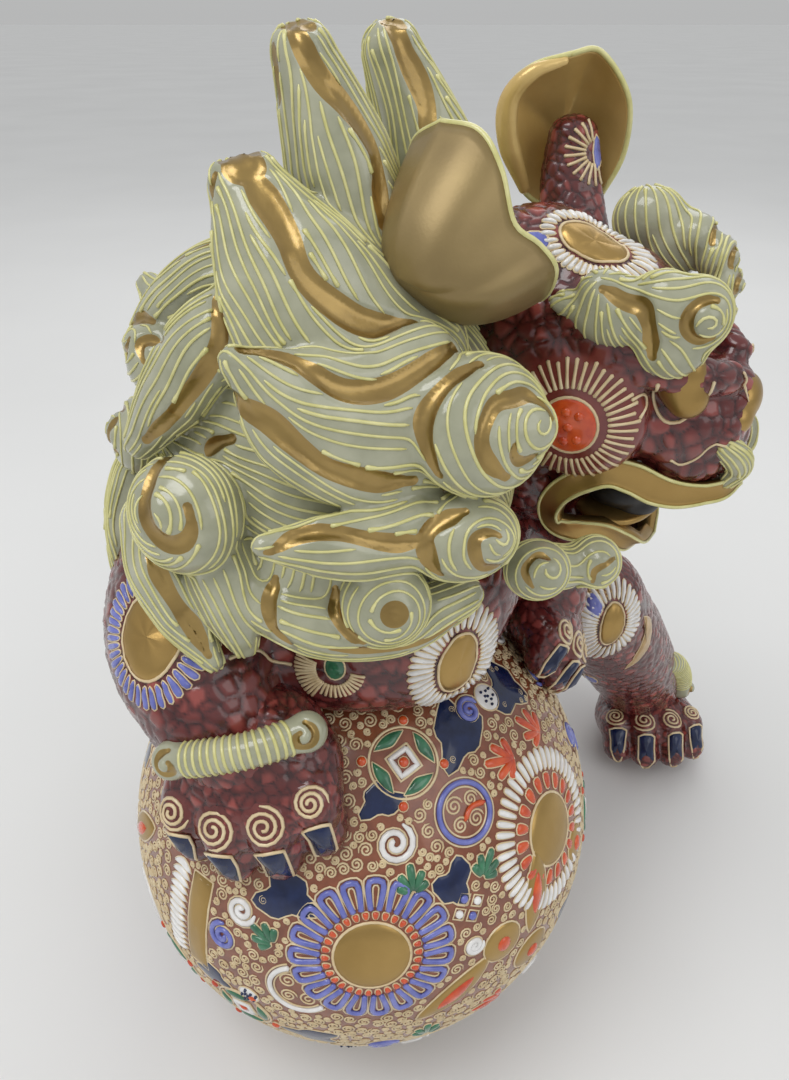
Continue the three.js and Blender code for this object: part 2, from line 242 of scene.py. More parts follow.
# ---------------------------------------------------------------- mesh building
class Shell:
    """Collects vertices and faces, in millimetres, then becomes one Blender object."""

    def __init__(self):
        self.vertices, self.faces, self.slots, self.materials, self.count = [], [], [], [], 0

    def add(self, vertices, faces, material):
        if material not in self.materials:
            self.materials.append(material)
        faces = np.asarray(faces, np.int64)
        self.vertices.append(np.asarray(vertices, float))
        self.faces.append(faces + self.count)
        self.slots.append(np.full(len(faces), self.materials.index(material)))
        self.count += len(vertices)

    def build(self, name, replaced=(), slot="celadon_glaze", attributes=None):
        mesh = bpy.data.meshes.new(name)
        points = metres(np.concatenate(self.vertices))
        corners = [faces.ravel() for faces in self.faces]
        sizes = np.concatenate([np.full(len(faces), faces.shape[1]) for faces in self.faces])
        mesh.vertices.add(len(points))
        mesh.vertices.foreach_set("co", points.astype(np.float32).ravel())
        corners = np.concatenate(corners)
        mesh.loops.add(len(corners))
        mesh.loops.foreach_set("vertex_index", corners.astype(np.int32))
        mesh.polygons.add(len(sizes))
        starts = np.concatenate([[0], np.cumsum(sizes)[:-1]])
        mesh.polygons.foreach_set("loop_start", starts.astype(np.int32))
        mesh.polygons.foreach_set("material_index", np.concatenate(self.slots).astype(np.int32))
        mesh.polygons.foreach_set("use_smooth", np.ones(len(sizes), bool))
        for material in self.materials:
            mesh.materials.append(material)
        mesh.update(calc_edges=True)
        mesh.validate()
        for attribute, values in (attributes or {}).items():
            layer = mesh.attributes.new(attribute, "FLOAT", "POINT")
            layer.data.foreach_set("value", np.asarray(values, np.float32))
        piece = bpy.data.objects.new(name, mesh)
        bpy.context.scene.collection.objects.link(piece)
        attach(piece, BODY)
        if replaced:
            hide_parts(*replaced)
        return piece


def add_piece(name, vertices, faces, material, replaced, slot, attributes=None):
    """One mesh in one material as a piece."""
    shell = Shell()
    shell.add(vertices, faces, material)
    shell.build(name, replaced, slot, attributes)


def grid_faces(rows, columns):
    """Quads of a rows x columns grid whose columns close on themselves."""
    r, c = np.meshgrid(np.arange(rows - 1), np.arange(columns), indexing="ij")
    r, c = r.ravel(), c.ravel()
    after = (c + 1) % columns
    return np.stack([r * columns + c, r * columns + after, (r + 1) * columns + after, (r + 1) * columns + c],
                    1)


TAPER = 0.45  # radius where a plain line ends
NECK = 0.85  # radius beside a bead, as a share of the bead's
CAP = 0.6  # how far a line's end sticks out, in radii


def tube(shell, points, normals, radius, material, sides=5, taper=True, bead=0.0, flat=0.85):
    """A raised enamel line along points, tapered at its ends or ending in beads."""
    points = np.asarray(points, float)
    count = len(points)
    if count < 2:
        return
    tangent = unit(np.gradient(points, axis=0))
    side = unit(np.cross(tangent, normals))
    up = np.cross(side, tangent)
    reach = np.full(count, float(radius))
    if taper:
        reach[0] *= TAPER
        reach[-1] *= TAPER
    if bead:
        reach[0] = reach[-1] = radius * bead
        if count > 3:
            reach[1] = reach[-2] = radius * bead * NECK
    angles = np.arange(sides) * 2 * math.pi / sides + math.pi / 2
    ring = np.cos(angles)[None, :, None] * side[:, None] + np.sin(angles)[None, :, None] * up[:, None] * flat
    body = points[:, None] + ring * reach[:, None, None]
    ends = np.stack([points[0] - tangent[0] * reach[0] * CAP, points[-1] + tangent[-1] * reach[-1] * CAP])
    base = count * sides
    shell.add(np.concatenate([body.reshape(-1, 3), ends]), grid_faces(count, sides), material)
    caps = []
    for k in range(sides):
        after = (k + 1) % sides
        caps.append([base, after, k])
        caps.append([base + 1, (count - 1) * sides + k, (count - 1) * sides + after])
    cap_shift = shell.count - base - 2
    shell.faces.append(np.asarray(caps) + cap_shift)
    shell.slots.append(np.full(len(caps), shell.materials.index(material)))


def spline(points, count):
    """Smooth curve through points, evenly resampled to count points."""
    points = np.asarray(points, float)
    padded = np.concatenate([[2 * points[0] - points[1]], points, [2 * points[-1] - points[-2]]])
    fine = []
    for i in range(1, len(padded) - 2):
        a, b, c, d = padded[i - 1:i + 3]
        t = np.linspace(0, 1, 24, endpoint=i == len(padded) - 3)[:, None]
        fine.append(0.5 * (2 * b + (c - a) * t + (2 * a - 5 * b + 4 * c - d) * t ** 2
                           + (3 * b - a - 3 * c + d) * t ** 3))
    fine = np.concatenate(fine)
    length = np.concatenate([[0], np.cumsum(np.linalg.norm(np.diff(fine, axis=0), axis=1))])
    even = np.linspace(0, length[-1], count)
    return np.stack([np.interp(even, length, fine[:, k]) for k in range(fine.shape[1])], 1)


# ---------------------------------------------------------------- sculpted bodies as distance fields
FAR = -9.0  # no gilding
GROOVE_DEPTH = 1.2
KNOB_BLEND = 1.2  # how softly a curl's eye joins its dome
FLUTES, FLUTING = 7, 0.03  # shallow ribs round a fluted lock, and their depth as a share of its width


def ellipsoid(local, radii):
    """Distance from an ellipsoid, true close to its surface."""
    near = np.linalg.norm(local / radii, axis=1)
    slope = np.linalg.norm(local / radii ** 2, axis=1) + 1e-9
    return near * (near - 1) / slope


def lattice(axes):
    return np.stack(np.meshgrid(*axes, indexing="ij"), -1).reshape(-1, 3)


def smooth_min(a, b, blend):
    h = np.clip(0.5 + 0.5 * (a - b) / blend, 0, 1)
    return a * (1 - h) + b * h - blend * h * (1 - h)


class Egg:
    """An ellipsoid. Hair runs over it along `flow`, or away from `source`."""

    def __init__(self, centre, radii, axes=None, flow=(0, 0, 1), source=None):
        self.centre, self.radii = np.asarray(centre, float), np.asarray(radii, float)
        self.axes = np.eye(3) if axes is None else np.asarray(axes, float)
        self.flow, self.source = unit(flow), source

    def box(self):
        reach = np.sqrt(((self.axes * self.radii[:, None]) ** 2).sum(0))
        return self.centre - reach, self.centre + reach

    def evaluate(self, points):
        distance = ellipsoid((points - self.centre) @ self.axes.T, self.radii)
        flow = np.broadcast_to(self.flow, points.shape) if self.source is None else unit(points - self.source)
        return distance, flow, np.full(len(points), FAR)


class Lock:
    """A tapering lock swept along a curve, flattened towards `hub`, with gilded grooves along it.

    stripes: (place at root, place at tip, half width, start, end), places from -1 to 1 across it.
    """

    SAMPLES = 28
    SLIDE = 0.6  # how far past the nearest sample a place on the line can be, in samples

    def __init__(self, points, widths, thicknesses, hub, stripes=(), flutes=0.0):
        self.line = spline(points, self.SAMPLES)
        place = np.linspace(0, 1, self.SAMPLES)
        stations = np.linspace(0, 1, len(widths))
        self.width = np.interp(place, stations, widths)
        self.thickness = np.interp(place, stations, thicknesses)
        self.tangent = unit(np.gradient(self.line, axis=0))
        outward = self.line - np.asarray(hub, float)
        self.across = unit(np.cross(self.tangent, outward))
        self.out = np.cross(self.across, self.tangent)
        self.step = np.linalg.norm(self.line[1] - self.line[0])
        self.stripes, self.flutes = stripes, flutes

    def box(self):
        reach = np.maximum(self.width, self.thickness)[:, None]
        return (self.line - reach).min(0), (self.line + reach).max(0)

    def evaluate(self, points):
        last = self.SAMPLES - 1
        nearest = np.zeros(len(points), np.int64)
        best = np.full(len(points), 1e9)
        for i in range(self.SAMPLES):
            gap = ((points - self.line[i]) ** 2).sum(1)
            closer = gap < best
            nearest[closer] = i
            best[closer] = gap[closer]
        offset = points - self.line[nearest]
        slide = (offset * self.tangent[nearest]).sum(1) / self.step
        place = np.clip(nearest + np.clip(slide, -self.SLIDE, self.SLIDE), 0, last)
        low = np.minimum(place.astype(np.int64), last - 1)
        part = (place - low)[:, None]

        def at(values):
            return values[low] * (1 - part) + values[low + 1] * part

        centre, tangent = at(self.line), unit(at(self.tangent))
        across, out = unit(at(self.across)), unit(at(self.out))
        width, thickness = at(self.width[:, None])[:, 0], at(self.thickness[:, None])[:, 0]
        offset = points - centre
        a, b = (offset * across).sum(1), (offset * out).sum(1)
        along = (offset * tangent).sum(1)
        if self.flutes:
            turn = np.arctan2(b / thickness, a / width)
            width = width * (1 + self.flutes * np.cos(FLUTES * turn))
            thickness = thickness * (1 + self.flutes * np.cos(FLUTES * turn))
        end = np.minimum(width, thickness)
        near = np.sqrt((a / width) ** 2 + (b / thickness) ** 2 + (along / end) ** 2)
        slope = np.sqrt((a / width ** 2) ** 2 + (b / thickness ** 2) ** 2 + (along / end ** 2) ** 2) + 1e-9
        distance = near * (near - 1) / slope
        gilding = np.full(len(points), FAR)
        share = place / last
        for root, tip, half, start, stop in self.stripes:
            middle = (root + (tip - root) * share) * width
            span = np.clip((share - start) / (stop - start), 0, 1)
            taper = np.clip(4 * np.minimum(span, 1 - span), 0, 1) ** 0.5
            band = half * taper - np.abs(a - middle)
            band = np.where((b > -0.1 * thickness) & (span > 0) & (span < 1), band, FAR)
            gilding = np.maximum(gilding, band)
        return distance, tangent, gilding


COIL_POINTS = 9
EYE_HEIGHT = 0.72  # where a curl's eye sits between its middle and its surface


class Curl:
    """A snail of hair: a dome with a raised eye that its lines wind round.

    eye: the coil's inner end from the dome's middle, as (right, up).
    coils: gilded grooves, each (first angle, last angle, first reach, last reach, half width) round the eye.
    """

    def __init__(self, centre, radii, outward, eye=(0.0, 0.0), hand=1, pitch=7.0, boss=0.5, coils=(),
                 gilt_eye=0.0):
        self.centre, self.radii = np.asarray(centre, float), np.asarray(radii, float)
        self.normal = unit(outward)
        self.right = unit(np.cross(Z, self.normal))
        self.up = np.cross(self.normal, self.right)
        self.eye, self.hand, self.pitch, self.boss = np.asarray(eye, float), hand, pitch, boss
        self.coils, self.gilt_eye = coils, gilt_eye
        self.axes = np.array([self.right, self.up, self.normal])

    def box(self):
        reach = self.radii.max() * 1.1
        return self.centre - reach, self.centre + reach

    def stripes(self):
        """The gilded grooves as (points, half width), a little above the dome."""
        for first, last, near, far, half in self.coils:
            angle = np.radians(np.linspace(first, last, COIL_POINTS))
            reach = np.linspace(near, far, COIL_POINTS)
            x = self.eye[0] + reach * np.cos(angle)
            y = self.eye[1] + reach * np.sin(angle)
            inside = np.clip(1 - (x / self.radii[0]) ** 2 - (y / self.radii[1]) ** 2, 0, 1)
            z = self.radii[2] * np.sqrt(inside)
            yield self.centre + np.stack([x, y, z], 1) @ self.axes, half

    def evaluate(self, points):
        local = (points - self.centre) @ self.axes.T
        height = self.radii[2] * math.sqrt(max(0.05, 1 - float(((self.eye / self.radii[:2]) ** 2).sum())))
        knob = ellipsoid(local - (*self.eye, height * EYE_HEIGHT), self.radii * self.boss)
        distance = smooth_min(ellipsoid(local, self.radii), knob, KNOB_BLEND)
        x, y = local[:, 0] - self.eye[0], local[:, 1] - self.eye[1]
        r = np.hypot(x, y) + 1e-6
        radial = (x[:, None] * self.right + y[:, None] * self.up) / r[:, None]
        around = np.cross(self.normal, radial) * self.hand
        flow = unit(around * r[:, None] - radial * (self.pitch / (2 * math.pi)))
        gilt = np.where(local[:, 2] > 0, self.gilt_eye - r, FAR) if self.gilt_eye else np.full(len(points),
                                                                                               FAR)
        return distance, flow, gilt


def corner_normals(vertices, quads):
    """Each quad's normal, sized by its area."""
    a, b, c, d = [vertices[quads[:, k]] for k in range(4)]
    return np.cross(c - a, d - b)


def vertex_normals(count, quads, normal):
    normals = np.zeros((count, 3))
    for k in range(4):
        np.add.at(normals, quads[:, k], normal)
    return normals


def sculpt(bodies, voxel, blend, cut=None):
    """Smooth union of bodies, less `cut`, as a quad mesh: vertices, quads and normals."""
    lows, highs = zip(*[body.box() for body in bodies])
    low = np.min(lows, axis=0) - 3 * voxel
    counts = np.ceil((np.max(highs, axis=0) + 3 * voxel - low) / voxel).astype(int)
    field = np.full(counts, 3.0 * blend, np.float32)
    margin = blend * 1.5 + voxel
    for body in bodies:
        a, b = body.box()
        i0 = np.maximum(((a - margin - low) / voxel).astype(int), 0)
        i1 = np.minimum(((b + margin - low) / voxel).astype(int) + 2, counts)
        points = lattice([low[k] + voxel * np.arange(i0[k], i1[k]) for k in range(3)])
        distance = body.evaluate(points)[0].reshape(tuple(i1 - i0))
        part = field[i0[0]:i1[0], i0[1]:i1[1], i0[2]:i1[2]]
        part[...] = smooth_min(part, distance, blend)
    if cut is not None:
        points = lattice([low[k] + voxel * np.arange(counts[k]) for k in range(3)])
        field = np.maximum(field, -cut(points).reshape(counts)).astype(np.float32)
    volume = openvdb.FloatGrid(3.0 * blend)
    volume.copyFromArray(field)
    vertices, quads = volume.convertToQuads(isovalue=0.0)
    vertices = vertices.astype(float) * voxel + low
    quads = quads.astype(np.int64)
    normal = corner_normals(vertices, quads)
    outward = vertices[quads[:, 0]] + vertices[quads[:, 2]] - 2 * vertices.mean(0)
    if np.sum(normal * outward) < 0:
        quads, normal = quads[:, ::-1], -normal
    return vertices, quads, unit(vertex_normals(len(vertices), quads, normal))


REACH = 6  # how far outside its box a body still colours the mesh
SOFTNESS = 1.2  # how softly one body's flow turns into the next one's
GILT_LIMIT = 1.5
SWAY = 0.09  # waviness of the hair


def paint(bodies, vertices, normals):
    """Hair flow and gilding at each vertex."""
    closest = np.full(len(vertices), 1e9)
    distances, flows, gilts, members = [], [], [], []
    for body in bodies:
        low, high = body.box()
        index = np.flatnonzero(np.all((vertices > low - REACH) & (vertices < high + REACH), axis=1))
        distance, flow, gilt = body.evaluate(vertices[index])
        distances.append(distance)
        flows.append(flow)
        gilts.append(np.clip(gilt, -GILT_LIMIT, GILT_LIMIT))
        members.append(index)
        closest[index] = np.minimum(closest[index], distance)
    flow_sum = np.zeros_like(vertices)
    gilt_sum, weight_sum = np.zeros(len(vertices)), np.zeros(len(vertices))
    for distance, flow, gilt, index in zip(distances, flows, gilts, members):
        weight = np.exp(-(distance - closest[index]) / SOFTNESS)
        flow_sum[index] += flow * weight[:, None]
        gilt_sum[index] += gilt * weight ** 2
        weight_sum[index] += weight ** 2
    sway = np.sin(vertices @ (0.31, 0.17, 0.23)) + np.sin(vertices @ (-0.19, 0.41, 0.13) + 2.0)
    flow_sum = unit(flow_sum)
    flow_sum = flow_sum + SWAY * sway[:, None] * np.cross(normals, flow_sum)
    flow = flow_sum - normals * (flow_sum * normals).sum(1, keepdims=True)
    return unit(flow), gilt_sum / (weight_sum + 1e-9)


HAIR_SPACING = 2.0  # distance between the raised enamel lines
HAIR_RADIUS = 0.33
HAIR_STEP = 1.1
HAIR_POINTS = 5, 70  # fewest points in a line, and most to each side of its middle
START_GAP, RUN_GAP = 0.98, 0.55  # nearest another line may be where one starts and as it runs, in spacings
GILT_START, GILT_STOP = -0.3, -0.25  # gilding that keeps a line from starting, and that ends it
BESIDE_GILT = -0.75, -0.35  # lines beside the gilding are laid first
SHARPEST_TURN = 0.35


def hair_lines(vertices, quads, normals, flow, gilt, spacing):
    """Evenly spaced lines that follow the flow over a mesh, clear of the gilding."""
    tree = BVHTree.FromPolygons(vertices.tolist(), quads.tolist())
    first = quads[:, 0].tolist()
    flow_at, gilt_at, normal_at = flow.tolist(), gilt.tolist(), normals.tolist()
    cells = {}

    def cell(p):
        return int(p[0] // spacing), int(p[1] // spacing), int(p[2] // spacing)

    def crowded(p, line, limit):
        cx, cy, cz = cell(p)
        for i in (cx - 1, cx, cx + 1):
            for j in (cy - 1, cy, cy + 1):
                for k in (cz - 1, cz, cz + 1):
                    for q in cells.get((i, j, k), ()):
                        away = (p[0] - q[0]) ** 2 + (p[1] - q[1]) ** 2 + (p[2] - q[2]) ** 2
                        if q[3] != line and away < limit:
                            return True
        return False

    order = rng.permutation(len(vertices))
    near_gold = (gilt > BESIDE_GILT[0]) & (gilt < BESIDE_GILT[1])
    order = np.concatenate([order[near_gold[order]], order[~near_gold[order]]])
    lines = []
    start_limit, run_limit = (spacing * START_GAP) ** 2, (spacing * RUN_GAP) ** 2
    for seed in order.tolist():
        if gilt_at[seed] > GILT_START:
            continue
        p0 = vertices[seed].tolist()
        number = len(lines)
        if crowded(p0, number, start_limit):
            continue
        halves = []
        for way in (1, -1):
            p, run, previous, at = p0, [], None, seed
            for _ in range(HAIR_POINTS[1]):
                f = flow_at[at]
                sign = way
                if previous is not None:
                    turn = f[0] * previous[0] + f[1] * previous[1] + f[2] * previous[2]
                    if abs(turn) < SHARPEST_TURN:
                        break
                    sign = 1 if turn > 0 else -1
                q = tuple(p[k] + f[k] * HAIR_STEP * sign for k in range(3))
                hit, _, face, _ = tree.find_nearest(q)
                at = first[face]
                if gilt_at[at] > GILT_STOP:
                    break
                p = (hit[0], hit[1], hit[2])
                if crowded(p, number, run_limit):
                    break
                previous = (f[0] * sign, f[1] * sign, f[2] * sign)
                run.append((p, normal_at[at]))
            halves.append(run)
        run = halves[1][::-1] + [(p0, normal_at[seed])] + halves[0]
        if len(run) < HAIR_POINTS[0]:
            continue
        for p, _ in run:
            cells.setdefault(cell(p), []).append((p[0], p[1], p[2], number))
        lines.append((np.array([p for p, _ in run]), unit(np.array([n for _, n in run]))))
    return lines


def draw_hair(shell, lines):
    for points, normals in lines:
        middle = points.copy()
        middle[1:-1] = (points[:-2] + 2 * points[1:-1] + points[2:]) / 4
        bead = 1.7 if rng.random() < 0.3 else 0.0
        tube(shell, middle + normals * HAIR_RADIUS * 0.25, normals, HAIR_RADIUS * rng.uniform(0.85, 1.15),
             cream_line,
             bead=bead)


GROOVE_POINTS, GROOVE_PASSES = 60, 8  # points along a groove, and how often it is smoothed
GROOVE_MARGIN = 5
GROOVE_BANK = 0.9, 2.6  # where beside the gilding the ground starts to sink, and over what width


def groove(stripes, vertices, quads, normals, gilt):
    """Sink gilded grooves along curves laid on the mesh; each is (points, half width)."""
    tree = BVHTree.FromPolygons(vertices.tolist(), quads.tolist())
    for points, half in stripes:
        line = spline(points, GROOVE_POINTS)
        line = np.array([tree.find_nearest(Vector(p))[0][:] for p in line])
        for _ in range(GROOVE_PASSES):
            line[1:-1] = (line[:-2] + line[1:-1] + line[2:]) / 3
        low, high = line.min(0) - GROOVE_MARGIN, line.max(0) + GROOVE_MARGIN
        index = np.flatnonzero(np.all((vertices > low) & (vertices < high), axis=1))
        gaps = np.linalg.norm(vertices[index][:, None] - line[None], axis=2)
        share = np.linspace(0, 1, len(line))
        width = half * np.clip(6 * np.minimum(share, 1 - share), 0.3, 1) ** 0.5
        width = width * (1 + 0.12 * np.sin(share * 11 + points[0][0]))
        gilt[index] = np.maximum(gilt[index], (width[None] - gaps).max(1))
    depth = np.clip((gilt + GROOVE_BANK[0]) / GROOVE_BANK[1], 0, 1)
    vertices -= normals * (GROOVE_DEPTH * depth * depth * (3 - 2 * depth))[:, None]


def gilded(name, bodies, replaced, voxel, blend, stripes=()):
    """A celadon body with gilded grooves; returns its mesh, hair flow and gilding."""
    vertices, quads, normals = sculpt(bodies, voxel, blend)
    flow, gilt = paint(bodies, vertices, normals)
    coils = [stripe for body in bodies if isinstance(body, Curl) for stripe in body.stripes()]
    groove(list(stripes) + coils, vertices, quads, normals, gilt)
    add_piece(name, vertices, quads, celadon, replaced, "celadon_glaze", {"gold": gilt})
    return vertices, quads, normals, flow, gilt


def hairy(name, bodies, replaced, voxel, blend, spacing=HAIR_SPACING, stripes=()):
    """A celadon body with gilded grooves and its raised enamel lines, as two pieces."""
    lines = Shell()
    draw_hair(lines, hair_lines(*gilded(name, bodies, replaced, voxel, blend, stripes), spacing))
    lines.build(name + "_lines", (), "celadon_glaze")


# ---------------------------------------------------------------- surfaces to decorate
DROP, DROP_REACH = 12.0, 40.0  # how far off a board its marks start to fall, and how far they can fall
SINK = 0.25  # share of a line's radius that it is lifted by
LOWEST = 1.0  # enamel stays this far above the floor
PAD_RINGS = [(0.0, 1.0), (0.45, 0.95), (0.82, 0.75), (0.97, 0.3), (1.02, -0.3)]  # a pad's (reach, rise)


class Skin:
    """A sculpted mesh that enamel can be laid on."""

    def __init__(self, vertices, quads):
        self.tree = BVHTree.FromPolygons(vertices.tolist(), quads.tolist())

    def drop(self, points, inward):
        """Points moved along `inward` on to the skin, with the skin's normals there."""
        places, normals = [], []
        for p in points:
            hit, normal, _, _ = self.tree.ray_cast(Vector(p - inward * DROP), Vector(inward), DROP_REACH)
            if hit is None:
                hit, normal, _, _ = self.tree.find_nearest(Vector(p))
            if normal.dot(Vector(inward)) > 0:
                normal = -normal
            places.append(hit[:])
            normals.append(normal[:])
        return np.array(places), np.array(normals)

    def nearest(self, points):
        found = [self.tree.find_nearest(Vector(p)) for p in np.asarray(points, float)]
        return np.array([f[0][:] for f in found]), np.array([f[1][:] for f in found])


class Patch:
    """A flat drawing board, in millimetres, whose marks land on a skin or on the ball."""

    def __init__(self, centre, outward, spin=0.0, skin=None, upward=Z):
        self.normal = unit(outward)
        right = unit(np.cross(upward, self.normal))
        up = np.cross(self.normal, right)
        turn = math.radians(spin)
        self.right = right * math.cos(turn) + up * math.sin(turn)
        self.up = up * math.cos(turn) - right * math.sin(turn)
        self.centre, self.skin = np.asarray(centre, float), skin

    def place(self, flat, lift=0.0):
        flat = np.asarray(flat, float).reshape(-1, 2)
        if self.skin:
            spots = self.centre + flat[:, :1] * self.right + flat[:, 1:] * self.up
            points, normals = self.skin.drop(spots, -self.normal)
            smooth = normals.copy()
            smooth[1:-1] = normals[:-2] + normals[1:-1] + normals[2:]
            normals = unit(smooth)
        else:
            away = np.linalg.norm(flat, axis=1, keepdims=True) + 1e-9
            angle = away / GLAZE_RADIUS
            heading = (flat[:, :1] * self.right + flat[:, 1:] * self.up) / away
            normals = self.normal * np.cos(angle) + heading * np.sin(angle)
            points = ball_centre + normals * GLAZE_RADIUS
        return points + normals * np.reshape(lift, (-1, 1)), normals

    def line(self, shell, flat, radius, material, **shape):
        points, normals = self.place(flat, radius * SINK)
        if points[:, 2].min() > LOWEST:
            tube(shell, points, normals, radius, material, **shape)

    def pad(self, shell, outline, height, material, rim=0.0):
        """A raised patch filling an outline that its middle can see all round, with a cream rim."""
        outline = np.asarray(outline, float)
        middle = outline.mean(0)
        flat = np.concatenate([middle + (outline - middle) * reach for reach, _ in PAD_RINGS])
        lift = np.repeat([rise * height for _, rise in PAD_RINGS], len(outline))
        points, _ = self.place(flat, lift)
        if points[:, 2].min() < LOWEST:
            return
        shell.add(points, grid_faces(len(PAD_RINGS), len(outline)), material)
        if rim:
            self.line(shell, np.concatenate([outline, outline[:2]]), rim, cream_outline, taper=False)


def oval(rx, ry, centre=(0, 0), count=24, spin=0.0):
    angle = np.arange(count) * 2 * math.pi / count
    x, y = rx * np.cos(angle), ry * np.sin(angle)
    c, s = math.cos(math.radians(spin)), math.sin(math.radians(spin))
    return np.stack([centre[0] + x * c - y * s, centre[1] + x * s + y * c], 1)


def coil(radius, turns=1.9, inner=0.12, centre=(0, 0), start=0.0, hand=1, per_turn=14):
    """A spiral drawn from its outside in."""
    share = np.linspace(0, 1, int(turns * per_turn) + 2)
    angle = math.radians(start) + hand * share * turns * 2 * math.pi
    reach = radius * (1 - share * (1 - inner))
    return np.stack([centre[0] + reach * np.cos(angle), centre[1] + reach * np.sin(angle)], 1)


def petal(angle, near, far, half, count=18, blunt=0.5):
    """A petal's outline pointing away from the middle of its flower."""
    turn = np.linspace(0, 2 * math.pi, count, endpoint=False)
    along = (near + far) / 2 + (far - near) / 2 * np.cos(turn)
    share = (along - near) / (far - near)
    width = half * np.sign(np.sin(turn)) * np.abs(np.sin(turn)) ** blunt * (0.55 + 0.45 * share)
    c, s = math.cos(angle), math.sin(angle)
    return np.stack([along * c - width * s, along * s + width * c], 1)


def leaf(points, half, count=9):
    """A pointed leaf's outline round a short curved spine."""
    spine = spline(points, count)
    heading = unit(np.gradient(spine, axis=0))
    side = np.stack([-heading[:, 1], heading[:, 0]], 1)
    width = half * np.sin(np.linspace(0, math.pi, count)) ** 0.7
    return np.concatenate([spine + side * width[:, None], (spine - side * width[:, None])[1:-1][::-1]])


# ---------------------------------------------------------------- pebbled slip
PEBBLE_CELLS = (17, 19, 23)  # the pattern repeats after this many cells
JOINT = 0.34  # width of the joints between pebbles, as a share of a pebble
PEBBLE_LEVEL = 0.75  # share of a pebble's height that stays under the sculpted surface
PEBBLE_TABLE = rng.random((*PEBBLE_CELLS, 4))


def cobbles(points, size):
    """Cell pattern: distance to the nearest joint and a random tone per pebble."""
    cell = np.floor(points / size).astype(np.int64)
    first = np.full(len(points), 1e9)
    second = np.full(len(points), 1e9)
    tone = np.zeros(len(points))
    for i in (-1, 0, 1):
        for j in (-1, 0, 1):
            for k in (-1, 0, 1):
                near = cell + (i, j, k)
                value = PEBBLE_TABLE[tuple((near % PEBBLE_CELLS).T)]
                distance = np.linalg.norm((near + value[:, :3]) * size - points, axis=1)
                closer = distance < first
                second = np.where(closer, first, np.minimum(second, distance))
                tone = np.where(closer, value[:, 3], tone)
                first = np.where(closer, distance, first)
    return second - first, tone


def pebbled(name, bodies, replaced, voxel, blend, size=4.2, height=0.45, cut=None, calm=None):
    """A maroon sculpt with pebbled slip raised on it; returns its skin."""
    vertices, quads, normals = sculpt(bodies, voxel, blend, cut)
    gap, tone = cobbles(vertices, size)
    crown = np.clip(gap / (JOINT * size), 0, 1) ** 0.7
    strength, flat_tone = (np.ones(len(vertices)), 0.0) if calm is None else calm(vertices)
    vertices = vertices + normals * ((crown - PEBBLE_LEVEL) * height * strength)[:, None]
    vertices[:, 2] = np.maximum(vertices[:, 2], 0)
    tone = np.clip((tone - 0.35) * 1.6, 0, 1) * strength + flat_tone * (1 - strength)
    crown = crown * strength + np.clip(flat_tone * 2, 0, 1) * (1 - strength)
    add_piece(name, vertices, quads, maroon, replaced, "maroon_glaze", {"pebble": crown, "tone": tone})
    return Skin(vertices, quads)


# ---------------------------------------------------------------- mane
MANE_HUB = vec(1, 9, 198)

